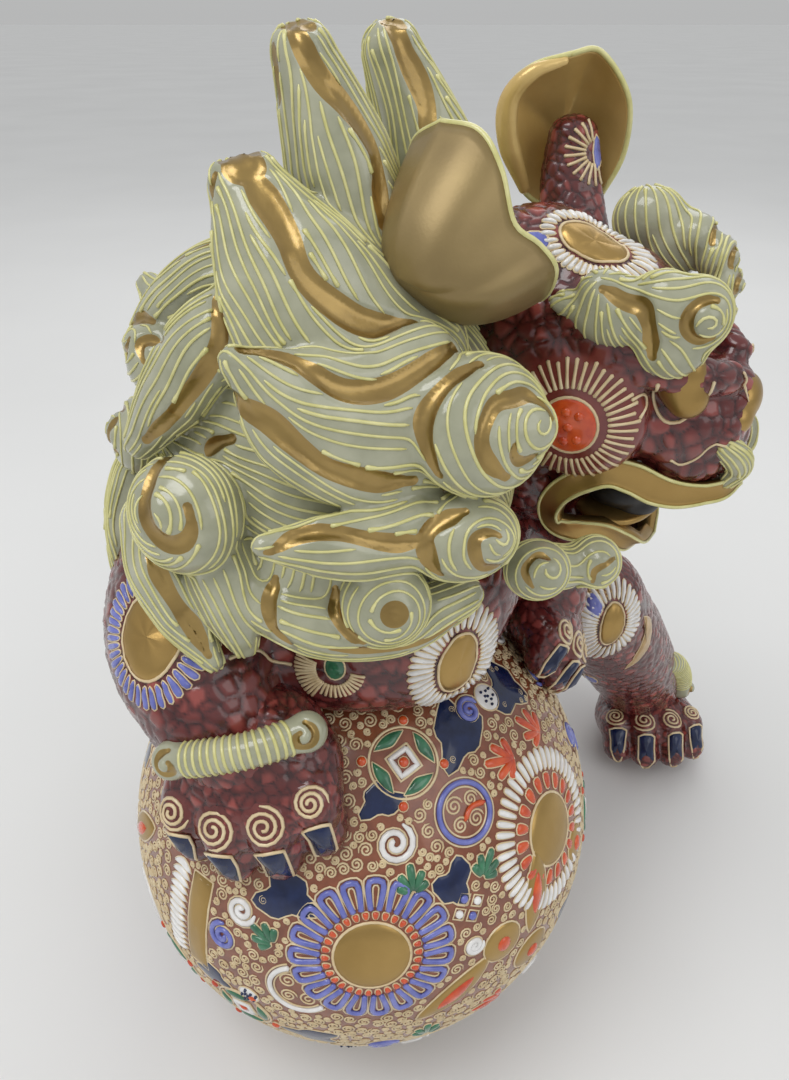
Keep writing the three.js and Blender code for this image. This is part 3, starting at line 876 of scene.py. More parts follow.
# gilded grooves of the mane that no curl owns: (guide points near the surface, half width)
MANE_STRIPES = [
    # spikes over the brow
    ([(-19, -17, 273), (-15, -21, 269), (-10, -26, 262), (-7, -31, 257), (-2, -32, 252), (6, -31, 247),
      (14, -27, 248)],
     2.8),
    ([(-10, -3, 297), (-7, -6, 293), (-5, -6, 289), (-1, -7, 282), (4, -8, 273), (9, -14, 262)], 2.6),
    ([(-14, -4, 293), (-15, -4, 283)], 2.0),
    # their gilded tips, and the first one's outer edge
    ([(-20, -13, 275), (-19, -16, 275), (-18, -19, 273)], 4.2),
    ([(-23, -17, 271), (-25, -19, 263), (-25, -21, 253)], 1.3),
    ([(-10, -1, 297), (-8, -3, 297), (-6, -4, 296)], 3.0),
    ([(9, 21, 297), (10, 20, 297), (12, 19, 296)], 2.6),
    ([(9, 20, 297), (12, 18, 291), (16, 16, 283), (20, 13, 272)], 2.5),
    # horns over the cheek
    ([(-17, -45, 247), (-13, -43, 245), (-9, -43, 244), (-1, -44, 239), (3, -43, 237), (9, -42, 238),
      (15, -38, 240),
      (24, -30, 243)], 2.3),
    ([(-20, -44, 242), (-16, -45, 237), (-12, -46, 233), (-7, -47, 228), (-2, -47, 224), (6, -45, 221),
      (14, -43, 219)],
     2.4),
    ([(-14, -57, 210), (-8, -54, 212), (0, -53, 212), (11, -52, 209), (17, -49, 208)], 1.9),
    # cheek curl: crescent, ring and inner hook
    ([(27, -37, 241), (21, -41, 239), (17, -44, 235), (16, -46, 231), (17, -48, 226), (19, -48, 222)], 2.0),
    ([(42, -40, 231), (40, -39, 234), (37, -39, 236), (34, -42, 236), (30, -44, 236), (28, -47, 233),
      (27, -48, 230),
      (28, -49, 227), (30, -49, 224), (33, -47, 221)], 1.7),
    ([(34, -46, 228), (34, -47, 226), (36, -46, 224), (39, -43, 224)], 1.1),
    # jowl curl: crescent and coil
    ([(25, -46, 213), (20, -48, 212), (17, -49, 209), (17, -51, 207), (18, -51, 203), (20, -51, 200)], 1.9),
    ([(33, -48, 200), (29, -51, 202), (27, -51, 206), (27, -50, 209), (30, -49, 210), (32, -49, 209)], 1.3),
    # chin curls
    ([(42, -40, 190), (40, -39, 193), (41, -38, 195), (43, -37, 196), (45, -38, 195)], 0.9),
    ([(59, -27, 182), (59, -27, 185), (61, -27, 187), (63, -25, 187)], 0.8),
    # shoulder curl and the lock above it
    ([(-25, -33, 223), (-34, -30, 219), (-38, -37, 219), (-40, -42, 216), (-40, -46, 213), (-39, -47, 209),
      (-35, -48, 206), (-31, -48, 208), (-30, -47, 211), (-31, -46, 214)], 2.2),
    ([(-22, -22, 248), (-25, -31, 241), (-29, -31, 235), (-34, -31, 229), (-44, -26, 219)], 2.1),
    # leaf lock and the strands over the chest
    ([(-44, -38, 197), (-40, -43, 191), (-35, -46, 183), (-32, -46, 174)], 2.3),
    ([(-15, -44, 195), (-16, -48, 189), (-13, -52, 182)], 1.7),
    ([(-2, -46, 194), (-1, -51, 189), (4, -54, 185)], 1.4),
    ([(24, -42, 183), (12, -52, 181), (-3, -54, 183)], 1.5),
    # side curls
    ([(-38, -23, 241), (-43, -14, 240), (-47, -10, 236), (-46, -12, 232)], 1.5),
    ([(-56, -9, 217), (-58, -9, 211), (-56, -12, 209)], 1.4),
]


def mane_lock(points, widths, thicknesses, stripes=()):
    return Lock(points, widths, thicknesses, MANE_HUB, stripes, FLUTING)


def mane_curl(centre, radii, outward=None, **details):
    centre = np.asarray(centre, float)
    return Curl(centre, radii, centre - MANE_HUB if outward is None else outward, **details)


def mane():
    bodies = [
        Egg(MANE_HUB + (-5, 0, 0), (47, 51, 55), flow=(-0.8, 0.1, 0.25)),
        Egg((-8, 30, 188), (54, 45, 46), flow=(-0.4, 0.8, 0.2)),
        Egg((-5, -28, 192), (25, 19, 14), flow=(0.05, 0.1, 1)),
        # spikes over the brow
        mane_lock([(8, -22, 230), (-5, -22, 246), (-14, -18, 260), (-19, -14.5, 269.5)], [26, 22, 16, 7.5],
                  [14, 12, 11, 6.5]),
        mane_lock([(7, 8, 240), (2, 4, 258), (-3, 1, 277), (-7.5, -1, 291)], [25, 21, 16, 7],
                  [16, 13, 11, 6.4]),
        mane_lock([(25, 28, 238), (22, 26, 258), (15.5, 24, 277), (10, 22, 291)], [21, 19, 15, 6.5],
                  [14, 12, 10, 6.4]),
        mane_lock([(30, 52, 226), (28, 62, 246), (20, 66, 262), (10, 64, 274)], [20, 17, 12, 5],
                  [13, 11, 8, 5],
                  [(0.2, 0.0, 2.4, 0.1, 0.95)]),
        # side horns
        mane_lock([(18, -30, 234), (6, -37, 231), (-7, -41, 235), (-18.5, -44.5, 244.5)], [15, 14.5, 11, 3],
                  [9, 9, 8, 3.2]),
        mane_lock([(16, -36, 219), (2, -42, 221), (-10, -44, 229), (-18.5, -44.5, 243)], [8, 8.5, 7, 2.8],
                  [6.5, 7, 6, 2.8]),
        mane_lock([(14, -44, 207), (3, -49, 207), (-6, -52, 208.5), (-15, -55, 210.5)], [8.5, 8, 6, 2.3],
                  [6.5, 6, 5, 2.3]),
        # shoulder, throat and flank locks
        mane_lock([(-48, -24, 197), (-46, -31, 188), (-39, -38, 179), (-32, -43, 170)], [9, 12, 11, 3.5],
                  [6, 6, 5.5, 2.5]),
        mane_lock([(-30, -36, 200), (-27, -42, 190), (-25, -44, 182), (-24, -44, 176)], [9, 10, 7.5, 3.5],
                  [6, 6.5, 5.5, 3]),
        mane_lock([(-22, -40, 189), (-5, -46, 184.5), (12, -45, 183.5), (26, -38, 186)], [7.5, 8, 7.5, 5],
                  [7, 8, 7, 5]),
        mane_lock([(-48, 10, 206), (-58, 2, 190), (-60, -8, 176), (-58, -14, 167)], [12, 12, 9, 4],
                  [8, 8, 6, 3],
                  [(0.0, 0.0, 1.6, 0.1, 0.95)]),
        # side locks sweeping back from the brow
        mane_lock([(-12, -20, 248), (-28, -22, 240), (-38, -22, 228), (-47, -20, 216)], [9, 10, 9, 4],
                  [7, 8, 7, 4]),
        mane_lock([(-14, 2, 248), (-30, 2, 247), (-42, 2, 240), (-50, 0, 232)], [12, 11, 9, 4], [8, 8, 7, 4],
                  [(0.0, 0.0, 1.8, 0.1, 0.95)]),
        # curls
        mane_curl((28, -37, 228), (15.5, 14.5, 10.5), eye=(6.5, -2.5), hand=-1, pitch=9, boss=0.42),
        mane_curl((25, -43, 205), (12.5, 9.5, 8.5), (0.22, -0.87, 0.42), eye=(4.5, -0.5), hand=-1, pitch=6,
                  boss=0.4),
        mane_curl((43.5, -34.5, 190.5), (7.6, 7, 7), (0.05, -0.86, 0.5), eye=(1.3, 0.3), hand=-1, pitch=5,
                  boss=0.4),
        mane_curl((60, -22.5, 184.5), (6.4, 6.6, 6), (0, -0.86, 0.5), eye=(0.8, 0), hand=-1, pitch=5,
                  boss=0.4),
        mane_lock([(44, -28, 187), (52, -24, 184), (61, -16, 181)], [6, 5.5, 5.5], [5, 5, 5]),
        mane_curl((-34, -38.5, 208), (13.5, 13, 10), (-0.45, -0.82, 0.32), eye=(-0.5, 1), hand=1, pitch=8,
                  boss=0.42),
        mane_curl((8.5, -48.5, 191.5), (10, 9.5, 7.5), (0.1, -0.9, 0.35), eye=(1.5, -0.5), hand=1, pitch=6,
                  boss=0.42,
                  gilt_eye=3.2),
        mane_curl((-45, -4, 231), (9, 9, 6.5), eye=(0, 0), hand=1, coils=[(80, 380, 7, 1.6, 1.4)]),
        mane_curl((-52, -6, 211), (9.5, 9.5, 6.5), eye=(0, 0), hand=1, coils=[(80, 380, 7, 1.6, 1.4)]),
        mane_curl((-55, 22, 200), (12, 12, 8), (-0.95, 0.05, 0.3), hand=1, coils=[(60, 400, 10, 2.2, 1.7)],
                  pitch=9),
        mane_curl((-54, 42, 180), (12, 12, 8), (-0.9, 0.4, 0.1), hand=1, coils=[(60, 400, 10, 2.2, 1.7)],
                  pitch=9),
        mane_curl((-52, 16, 172), (11, 11, 7.5), (-0.95, 0, -0.1), hand=-1, coils=[(120, -220, 9, 2.0, 1.6)],
                  pitch=8),
        mane_curl((60, 46, 222), (13, 13, 8.5), coils=[(60, 400, 11, 2.2, 1.7)], pitch=9),
        mane_curl((64, 38, 196), (10, 10, 7), coils=[(60, 400, 8, 1.8, 1.5)]),
    ]
    nape = [
        [(0, 44, 232), (-6, 66, 244), (-10, 80, 258)],
        [(44, 56, 196), (54, 72, 192), (58, 84, 182)],
        [(4, 70, 202), (2, 90, 198), (0, 106, 186)],
        [(-34, 52, 192), (-48, 68, 188), (-56, 78, 176)],
        [(-36, 26, 226), (-50, 36, 228), (-58, 42, 234)],
    ]
    for points in nape:
        bodies.append(mane_lock(points, [19, 13, 3.5], [13, 9, 3.5], [(0, 0, 2.4, 0.1, 0.95)]))
    names = [node["node"] for node in frame["record"]["subparts"]]
    kinds = ("mane_", "curl", "_lock", "lock_")
    replaced = [name for name in names if any(kind in name for kind in kinds) and "fetlock" not in name]
    hairy("mane", bodies, replaced, VOXEL, 1.6, stripes=MANE_STRIPES)


# ---------------------------------------------------------------- body and legs
def round_lock(points, radii):
    return Lock(points, radii, radii, np.mean(points, axis=0) + (3.0, 500.0, 7.0))


def body():
    bodies = [
        Egg((4, 8, 168), (45, 44, 30)),
        Egg((9, -12, 160), (31, 20, 16)),
        Egg((2, -20, 152), (34, 16, 14)),
        Egg((14, 66, 142), (41, 46, 38)),
        Egg((17, 104, 108), (45, 39, 41)),
        round_lock([(-36, -2, 172), (-42, -18, 159), (-36, -33, 149), (-29, -41, 141)], [29, 25, 21, 15]),
        round_lock([(40, 32, 172), (54, 32, 155), (60, 28, 138)], [22, 19, 14]),
        round_lock([(42, 100, 100), (66, 84, 106), (86, 68, 104)], [35, 30, 20]),
        round_lock([(86, 66, 106), (104, 80, 76), (122, 96, 42), (130, 102, 20)], [21, 21, 20, 17]),
        round_lock([(-8, 106, 98), (-30, 92, 96), (-46, 78, 88)], [33, 27, 18]),
        round_lock([(-46, 78, 90), (-50, 94, 58), (-52, 102, 28), (-52, 102, 16)], [18, 17, 16, 15]),
    ]

    def over_ball(points):
        return np.linalg.norm(points - ball_centre, axis=1) - BALL_RADIUS + 1.5

    names = ["torso", "foreleg_right", "foreleg_left", "thigh_left", "shank_left", "thigh_right",
             "shank_right"]
    return pebbled("body_skin", bodies, names, VOXEL, 6.0, cut=over_ball)


CLAW_RINGS = [(0.0, 1.5), (0.5, 1.4), (0.85, 1.1), (1.0, 0.1)]  # a claw's (reach, rise)
# a claw's outline, across and along it
CLAW = [(-0.9, 0.0), (-0.4, -0.06), (0.3, -0.06), (0.9, 0.0), (0.84, 0.26), (0.66, 0.54), (0.4, 0.82),
        (0.12, 1.08), (-0.04, 1.1), (-0.26, 0.82), (-0.5, 0.54), (-0.76, 0.26)]


def claw(shell, skin, knuckle, tip, half):
    """A flat pointed navy claw lying on a toe, broad at the knuckle, with its cream outline."""
    knuckle, tip = np.asarray(knuckle, float), np.asarray(tip, float)
    away = unit(tip - knuckle)
    _, normals = skin.nearest([(knuckle + tip) / 2])
    side = unit(np.cross(away, normals[0]))
    length = np.linalg.norm(tip - knuckle)
    outline = np.array([knuckle + side * half * a + away * length * b for a, b in CLAW])
    outline, _ = skin.nearest(outline)
    middle = skin.nearest([outline.mean(0)])
    hub, up = middle[0][0], middle[1][0]
    points = np.concatenate([hub + (outline - hub) * reach + up * lift for reach, lift in CLAW_RINGS])
    shell.add(points, grid_faces(len(CLAW_RINGS), len(outline)), navy)
    loop = np.concatenate([outline, outline[:2]])
    tube(shell, loop + up * 0.5, np.tile(up, (len(loop), 1)), 0.5, cream_outline, taper=False)


# toes (across, along, rise), knuckles (the same, radius, hand) and claws (knuckle, tip, half width)
TOES = [(-17, 11, 0), (-6, 16, 1), (6, 16, 1), (17, 11, 0)]
KNUCKLES = [(-18, 9, 9, 4.2, 1), (-6.5, 14, 12, 5.2, -1), (6.5, 14, 12, 5.2, 1), (18, 9, 9, 4.6, -1)]
CLAWS = [((-18, 15, 7), (-18, 24.5, -8), 3.9), ((-6.5, 20.5, 8), (-6, 29.5, -9), 4.4),
         ((6.5, 20.5, 8), (7, 29.5, -9), 4.4), ((18, 15, 7), (18.5, 24, -7), 4.4)]


def paw(name, centre, forward, down, size=1.0):
    """A pad with four knuckled toes, spirals on the knuckles and navy claws."""
    ahead, sole = unit(forward), unit(down)
    side = unit(np.cross(sole, ahead))
    up = -np.cross(side, ahead) if np.dot(np.cross(side, ahead), sole) > 0 else np.cross(side, ahead)
    axes = np.array([side, ahead, up])
    centre = np.asarray(centre, float)

    def at(across, along, rise):
        return centre + (side * across + ahead * along + up * rise) * size

    bodies = [Egg(centre, np.array([23.5, 20, 15]) * size, axes),
              Egg(at(0, -9, 3), np.array([19, 15, 14]) * size, axes)]
    for across, along, rise in TOES:
        bodies.append(Egg(at(across, along - 3, rise + 3), np.array([7.0, 9.5, 8.0]) * size, axes))
        bodies.append(Egg(at(across, along + 4, rise - 3), np.array([6.4, 8, 6.5]) * size, axes))
    skin = pebbled(name, bodies, [name], VOXEL * 0.75, 2.6, 3.0, 0.3)
    trim = Shell()
    for across, along, rise, radius, hand in KNUCKLES:
        spot = at(across, along, rise)
        found, normal = skin.nearest([spot])
        patch = Patch(found[0], normal[0], 0, skin)
        patch.pad(trim, oval(radius * 1.15, radius * 1.15, count=16), 0.15, maroon_flat)
        patch.line(trim, coil(radius, 2.6, start=40 * across, hand=hand), 0.5, cream_outline)
    for knuckle, tip, half in CLAWS:
        claw(trim, skin, at(*knuckle), at(*tip), half * size)
    trim.build(name + "_enamel", (), "maroon_glaze")


def paws():
    paw("forepaw_right", (-25.5, -43, 134), (0.06, -0.68, -0.64), (0.22, 0.62, -0.75))
    paw("forepaw_left", (60, 22, 129), (0.25, -0.8, -0.6), (-0.78, -0.2, -0.6), 0.8)
    paw("hindpaw_left", (131, 94, 14), (0.05, -1, 0), (0, 0, -1))
    paw("hindpaw_right", (-52, 98, 14), (-0.1, -1, 0), (0, 0, -1))


def rosette(shell, patch, rx, ry, length, count, colour, half=1.0, grow=0.0):
    """A gold oval with a ring of raised strokes round it; `grow` lengthens those at the top."""
    patch.pad(shell, oval(rx, ry, count=32), 0.9, gold, 0.45)
    for k in range(count):
        angle = k * 2 * math.pi / count
        edge = 1 / math.hypot(math.cos(angle) / rx, math.sin(angle) / ry)
        far = edge + 1.2 + length + grow * max(0.0, math.sin(angle)) ** 2
        patch.pad(shell, petal(angle, edge + 1.2, far, half, 12), 0.8, colour, 0.28)


def fan(shell, patch, count, near, far, first, last, material):
    """Short raised rays between two angles."""
    for angle in np.radians(np.linspace(first, last, count)):
        ray = np.array([[near], [(near + far) / 2], [far]]) * (math.cos(angle), math.sin(angle))
        patch.line(shell, spline(ray, 6), 0.42, material, bead=1.2)


def body_enamel(skin):
    """Gold medallions and sprays painted on the chest, shoulder and thighs."""
    trim = Shell()

    def board(spot, outward, spin=0.0):
        return Patch(spot, outward, spin, skin)

    for place, outward, spin, *strokes in (
            ((-48, -36, 172), (-0.45, -0.8, 0.35), 12, 8.0, 10.5, 6.0, 40, violet, 0.95),
            ((28, -33, 159), (0.4, -0.9, 0.15), -12, 5.5, 9.0, 7.0, 38, white, 0.85),
            ((91, 46, 109), (0.26, -0.93, 0.25), -6, 4.6, 8.8, 8.0, 36, white, 0.95),
            ((-57, 76, 104), (-0.85, -0.45, 0.2), 6, 5.0, 9.0, 8.0, 36, white, 0.95)):
        rosette(trim, board(place, outward, spin), *strokes)
    spray = board((-5, -38, 161), (-0.1, -0.93, 0.3))
    spray.pad(trim, oval(2.6, 3.6, (0.5, 1), 16), 0.9, green, 0.35)
    fan(trim, spray, 12, 4.6, 10.0, 160, 235, cream_outline)
    fan(trim, spray, 12, 4.6, 8.0, 245, 350, cream_outline)
    spray.line(trim, spline([(-24, 5), (-19, 5), (-15, 1), (-11, 0)], 16), 0.45, cream_outline, bead=1.3)
    for place, outward, turn in (((94, 69, 62), (-0.4, -0.85, -0.2), 200),
                                 ((84, 45, 118), (0.1, -0.9, 0.4), 80)):
        tuft = board(place, outward)
        tuft.pad(trim, oval(3.0, 4.6, count=16), 0.9, violet, 0.35)
        fan(trim, tuft, 9, 5.0, 10.0, turn - 45, turn + 45, tan)
    leaf_board = board((108, 57, 93), (0.8, -0.58, 0.1))
    leaf_board.pad(trim, leaf([(-2, 12), (2.5, 4), (-1, -8), (-4, -14)], 3.0, 13), 0.8, tan, 0.3)
    trim.build("body_enamel", (), "maroon_glaze")


# ---------------------------------------------------------------- head
NOSE = vec(96, -1, 218)
AHEAD = unit((0.91, -0.41, 0))
LEFT = unit((0.405, 0.905, 0.08))
UP = np.cross(AHEAD, LEFT)
HEAD_AXES = np.array([AHEAD, LEFT, UP])


def on_head(ahead, left, up):
    return NOSE + AHEAD * ahead + LEFT * left + UP * up


def head_egg(place, radii, **details):
    return Egg(on_head(*place), radii, HEAD_AXES, **details)


def head_lock(points, widths, thicknesses, hub, **details):
    return Lock([on_head(*p) for p in points], widths, thicknesses, on_head(*hub), **details)


LIP = [(4.5, 0, -20.8), (1, -8.5, -21), (-7, -14, -21.2), (-13.5, -17.5, -19.3), (-20, -20, -15.6),
       (-26, -21.8, -14.2), (-32, -22.3, -17.5), (-37.5, -21.5, -23), (-40.3, -20.5, -29.5),
       (-39.2, -20, -34.3),
       (-35, -19.5, -35.8), (-31, -19, -35.4), (-25.5, -17, -35.8), (-21.5, -14.5, -38.5), (-18, -10, -43),
       (-16, 0, -46)]
LIP_HALF = [2.5, 2.6, 2.6, 3.4, 3.9, 3.9, 3.4, 3.0, 3.0, 3.2, 3.3, 3.2, 3.3, 3.5, 3.2, 2.6]
SUN = (-36, 27, 0)  # the cheek's red disc
SUN_RADIUS = 16.5
DAB_VOXEL, DAB_BLEND = 0.55, 1.2


def head():
    bodies = [head_egg(place, radii) for place, radii in (
        ((-43, 0, 9), (31, 27, 27)), ((-53, 0, 15), (24, 22, 27)), ((-34, 0, -4), (24, 23.5, 19)),
        ((-18, 0, -4), (21, 19, 15)), ((-7, 0, -10), (11, 13, 10.5)), ((-13, 0, -14), (15, 15.5, 9.5)),
        ((-50, 0, -24), (20, 21, 20)), ((-4, 0, 1), (8, 9.5, 8)), ((-34, 0, -41), (19, 17, 8.5)))]
    for side in (-1, 1):
        bodies += [
            head_egg((-36, 21 * side, 0), (17, 6.5, 17)),
            head_lock([(-38, 18 * side, 25), (-26, 20 * side, 17), (-12, 16 * side, 12), (-4, 8 * side, 9)],
                      [6, 6, 5, 4], [5, 5, 4, 4], (-25, 0, 0)),
            head_egg((-3.5, 7.5 * side, -4), (5, 4.5, 4)),
        ]
    mouth = [head_egg((-25, 23 * side, -26), (14, 20, 7.5)) for side in (-1, 1)]
    mouth.append(head_egg((-8, 0, -36.5), (13.5, 40, 12.5)))

    def outside_mouth(points):
        return np.min([part.evaluate(points)[0] for part in mouth], axis=0)

    def calm(points):
        """The cheek's disc is smooth and paler, and the mouth's inside smooth and darkened as painted shade.
        """
        local = (points - NOSE) @ HEAD_AXES.T
        cheek = np.hypot(local[:, 0] - SUN[0], local[:, 2] - SUN[2])
        strength = np.clip((cheek - SUN_RADIUS) / 1.5, 0.1, 1)
        # the mouth's inside is turned dark: painted shade
        mouth_shade_mask = outside_mouth(points) < 1.2
        return np.where(mouth_shade_mask, 0.05, strength), np.where(mouth_shade_mask, -0.2, 0.45)

    skin = pebbled("head_skin", bodies, ["skull", "lower_jaw"], VOXEL * 0.75, 3.0, 4.2, 0.45,
                   cut=outside_mouth,
                   calm=calm)
    # a near-black body inside the mouth as painted shade
    dab("mouth_shade_fill", [head_egg((-25, 0, -26.5), (11, 15, 7)), head_egg((-21, 0, -31), (8, 12, 7))], [],
        mouth_shade_black,
        "maroon_glaze")
    dab("tongue", [head_egg((-26, 0, -33.5), (12, 16.5, 3.5))], [], gold, "satin_gold")
    trim = Shell()
    for side in (-1, 1):
        lips(trim, side)
        cheek_sun(trim, skin, side)
    forehead(trim, skin)
    trim.build("head_enamel", (), "maroon_glaze")
    return skin


def lips(shell, side):
    """The gilded lip: a broad shallow band round the mouth with a cream line along both edges."""
    count = 120
    line = spline(LIP, count)
    half = np.interp(np.linspace(0, 1, count), np.linspace(0, 1, len(LIP_HALF)), LIP_HALF)
    facing = unit((line - (-24, 0, -27)) * (1, 1.5, 0.45))
    tangent = unit(np.gradient(line, axis=0))
    across = unit(np.cross(tangent, facing))
    facing = np.cross(across, tangent)
    mirror = np.array((1, -side, 1))
    to_frame = HEAD_AXES * mirror[:, None]
    line, across, facing = NOSE + line @ to_frame, across @ to_frame, facing @ to_frame
    profile = [(-0.9, -3.0), (-1.08, -0.6), (-0.95, 0.5), (-0.6, 0.25), (0.0, -0.1), (0.6, 0.25), (0.95, 0.5),
               (1.08, -0.6), (0.9, -3.0)]
    band = np.concatenate([[p + a * w * x + f * y for x, y in profile]
                           for p, a, w, f in zip(line, across, half, facing)])
    faces = grid_faces(len(line), len(profile))
    shell.add(band, faces if side > 0 else faces[:, ::-1], gold)
    for edge in (-0.98, 0.98):
        border = line + across * (half * edge)[:, None] + facing * 0.4
        tube(shell, border, facing, 0.5, cream_line, taper=False)


def cheek_sun(shell, skin, side):
    """A red disc on the cheek with cream rays."""
    patch = Patch(on_head(SUN[0], SUN[1] * side, SUN[2]), LEFT * side, 0, skin, UP)
    patch.pad(shell, oval(6.8, 7.4, count=28), 0.9, orange, 0.45)
    for k in range(44):
        angle = k * 2 * math.pi / 44
        reach = np.array([[9.2], [12.2], [15.4 + 0.5 * math.sin(k * 2.3)]])
        ray = reach * (math.cos(angle), math.sin(angle) * 1.05)
        patch.line(shell, spline(ray, 6), 0.4, cream_outline, bead=1.3)
    for k in range(7):
        angle = k * 0.9
        patch.pad(shell, oval(1.3, 1.3, (3.6 * math.cos(angle) * (k > 0), 4.0 * math.sin(angle) * (k > 0)),
                              8),
                  1.5, orange)


def forehead(shell, skin):
    """Gold oval between the brows inside a ring of white strokes, with a violet leaf and rungs behind it."""
    centre = on_head(-37.5, -8, 37)
    facing = unit(UP * 0.85 - LEFT * 0.4 + AHEAD * 0.35)
    patch = Patch(centre + UP * 3, facing, 0, skin, AHEAD)
    rosette(shell, patch, 5.2, 8.4, 3.4, 38, white, 0.72, grow=3.6)
    patch.pad(shell, oval(3.0, 4.4, (6.0, -13.6), 14, 20), 0.8, violet, 0.35)
    for k in range(9):
        y = -19 - 1.5 * k
        patch.line(shell, spline([(1, y), (4.5, y - 0.4), (8, y)], 8), 0.36, cream_outline, bead=1.2)
    patch.line(shell, spline([(9.6, -17), (10.2, -22), (9.6, -30)], 12), 0.4, cream_outline)


def brows():
    apex = on_head(-33, -27, 37)
    bodies = [
        head_egg((-30, -21, 26.5), (9.5, 6.5, 8), source=apex),
        head_egg((-33, -22.5, 31), (5, 4.5, 5), source=apex),
        head_egg((-20, -20.5, 27), (8.5, 7, 9.5), source=apex),
        head_egg((-38.5, -21, 27), (6.0, 4, 3), source=apex),
        head_egg((-17, -20.5, 20), (8, 6, 7), source=apex),
        Curl(on_head(-13, -20, 27.5), (7.8, 8.2, 6), unit(-LEFT + AHEAD * 0.45 + UP * 0.15), (0.8, 0), -1, 6,
             0.45,
             [(70, 300, 4.6, 4.4, 1.3)]),
    ]
    stripe = [on_head(-31.5, -30, 35), on_head(-26, -30, 33), on_head(-21.5, -29, 26),
              on_head(-20.5, -28, 19)]
    hairy("brow_right_tuft", bodies, ["brow_right"], VOXEL * 0.65, 1.6, 1.9, stripes=[(stripe, 1.9)])
    apex = on_head(-34, 22, 44)
    bodies = [
        head_egg((-31, 20, 35), (9, 7, 8), source=apex),
        head_egg((-24, 20, 30), (9, 7, 8.5), source=apex),
    ]
    for ahead, up in ((-19, 33), (-13.5, 28.5), (-11, 22), (-11.5, 15.5)):
        bodies.append(Curl(on_head(ahead, 18, up), (5.6, 5.0, 5.0), unit(LEFT * 0.2 + AHEAD - LEFT * 0.5),
                           (0.5, 0), 1,
                           4.5, 0.4, [(40, 250, 2.6, 2.2, 0.9)]))
    stripe = [on_head(-34, 26, 44), on_head(-26, 30, 38), on_head(-20, 30, 28), on_head(-18, 29, 20)]
    hairy("brow_left_tuft", bodies, ["brow_left"], VOXEL * 0.65, 1.6, 1.8, stripes=[(stripe, 1.5)])


def dab(name, bodies, replaced, material, slot):
    """A small smooth piece in one material."""
    vertices, quads, _ = sculpt(bodies, DAB_VOXEL, DAB_BLEND)
    add_piece(name, vertices, quads, material, replaced, slot)


# lines round an eye, on a board over it: (points, count, radius, bead)
FACE_LINES = [
    ([(-6.5, 4.5), (-5.5, -1), (-2, -6), (2.5, -6.5), (5.5, -2), (6, 5)], 26, 0.45, 1.2),
    ([(11, 0.5), (8.5, 1.2), (7.4, -1.5), (8.6, -4)], 14, 0.4, 1.3),
    ([(-14, -14), (-10, -13), (-7, -17), (-3.5, -19), (-1, -17.5)], 20, 0.36, 1.3),
    ([(-27, 13), (-28.5, 8), (-27, 3), (-26, 0)], 16, 0.4, 0.0),
]


def face_details(skin):
    dab("nose_leather", [head_egg((0.2, 0, 0.8), (4.6, 7.6, 6.2)),
                         head_egg((-0.5, 4.8, -2.5), (4.4, 4.8, 4.4)),
                         head_egg((-0.5, -4.8, -2.5), (4.4, 4.8, 4.4))], ["nose"], gold, "satin_gold")
    for side, node in ((-1, "eye_right"), (1, "eye_left")):
        dab(node + "_bulge", [head_egg((-13.5, 16.5 * side, 11), (5.5, 4.5, 7.5)),
                              head_egg((-11.5, 16.5 * side, 6.5), (4.8, 4.2, 5))], [node], gold, "satin_gold")
    trim = Shell()
    for side in (-1, 1):
        patch = Patch(on_head(-12.5, 20 * side, 7), unit(LEFT * side + AHEAD * 0.25), 0, skin, UP)
        for points, count, radius, bead in FACE_LINES:
            patch.line(trim, spline([(x * side, y) for x, y in points], count), radius, cream_outline,
                       bead=bead)
    trim.build("face_lines", (), "maroon_glaze")
    for side in (-1, 1):
        tuft = [head_lock([(-1, 10 * side, -8), (2.5, 9 * side, -11), (3.5, 7 * side, -15),
                           (1.5, 7 * side, -19)],
                          [3.0, 3.6, 3.2, 2.2], [2.6, 3, 2.6, 2], (-10, 0, -12))]
        hairy("lip_tuft_right" if side < 0 else "lip_tuft_left", tuft, [], FINE_VOXEL, 1.2, 1.3)


# ---------------------------------------------------------------- ears
EAR_THICKNESS = 1.7
EAR_GRID = 26, 96


def ear(material, rim, back, depth, bulge, power=2.4):
    """A cupped shell hung from a closed rim; `back` is where the cup is deepest."""
    rows, columns = EAR_GRID
    rim = np.asarray(rim, float)
    loop = spline(np.concatenate([rim, rim[:1]]), columns + 1)[:-1]
    back = np.asarray(back, float)
    bulge = unit(bulge)
    share = np.linspace(0, 1, rows)[:, None, None]
    hub = back - bulge * depth
    cup = hub + (loop - hub) * share + bulge * depth * (1 - share ** power)
    flat = cup.reshape(-1, 3)
    faces = grid_faces(rows, columns)
    normals = vertex_normals(len(flat), faces, corner_normals(flat, faces))
    normals[:columns] = bulge
    normals = unit(normals)
    if (normals[columns * (rows // 2):columns * (rows // 2 + 1)] @ bulge).sum() < 0:
        normals = -normals
        normals[:columns] = bulge
    taper = (1 - 0.5 * share[:, :, 0] ** 3).repeat(columns, 1).reshape(-1, 1)
    outer = flat + normals * EAR_THICKNESS / 2 * taper
    inner = flat - normals * EAR_THICKNESS / 2 * taper
    shell = Shell()
    both = np.concatenate([outer, inner])
    rim_index = (rows - 1) * columns + np.arange(columns)
    after = (rows - 1) * columns + (np.arange(columns) + 1) % columns
    bridge = np.stack([rim_index, after, after + len(outer), rim_index + len(outer)], 1)
    shell.add(both, np.concatenate([faces[:, ::-1], faces + len(outer), bridge[:, ::-1]]), material)
    edge = np.concatenate([flat[rim_index], flat[rim_index[:2]]])
    edge_normals = np.concatenate([normals[rim_index], normals[rim_index[:2]]])
    tube(shell, edge, edge_normals, 0.7, cream_line, 8, taper=False, flat=1.0)
    return shell


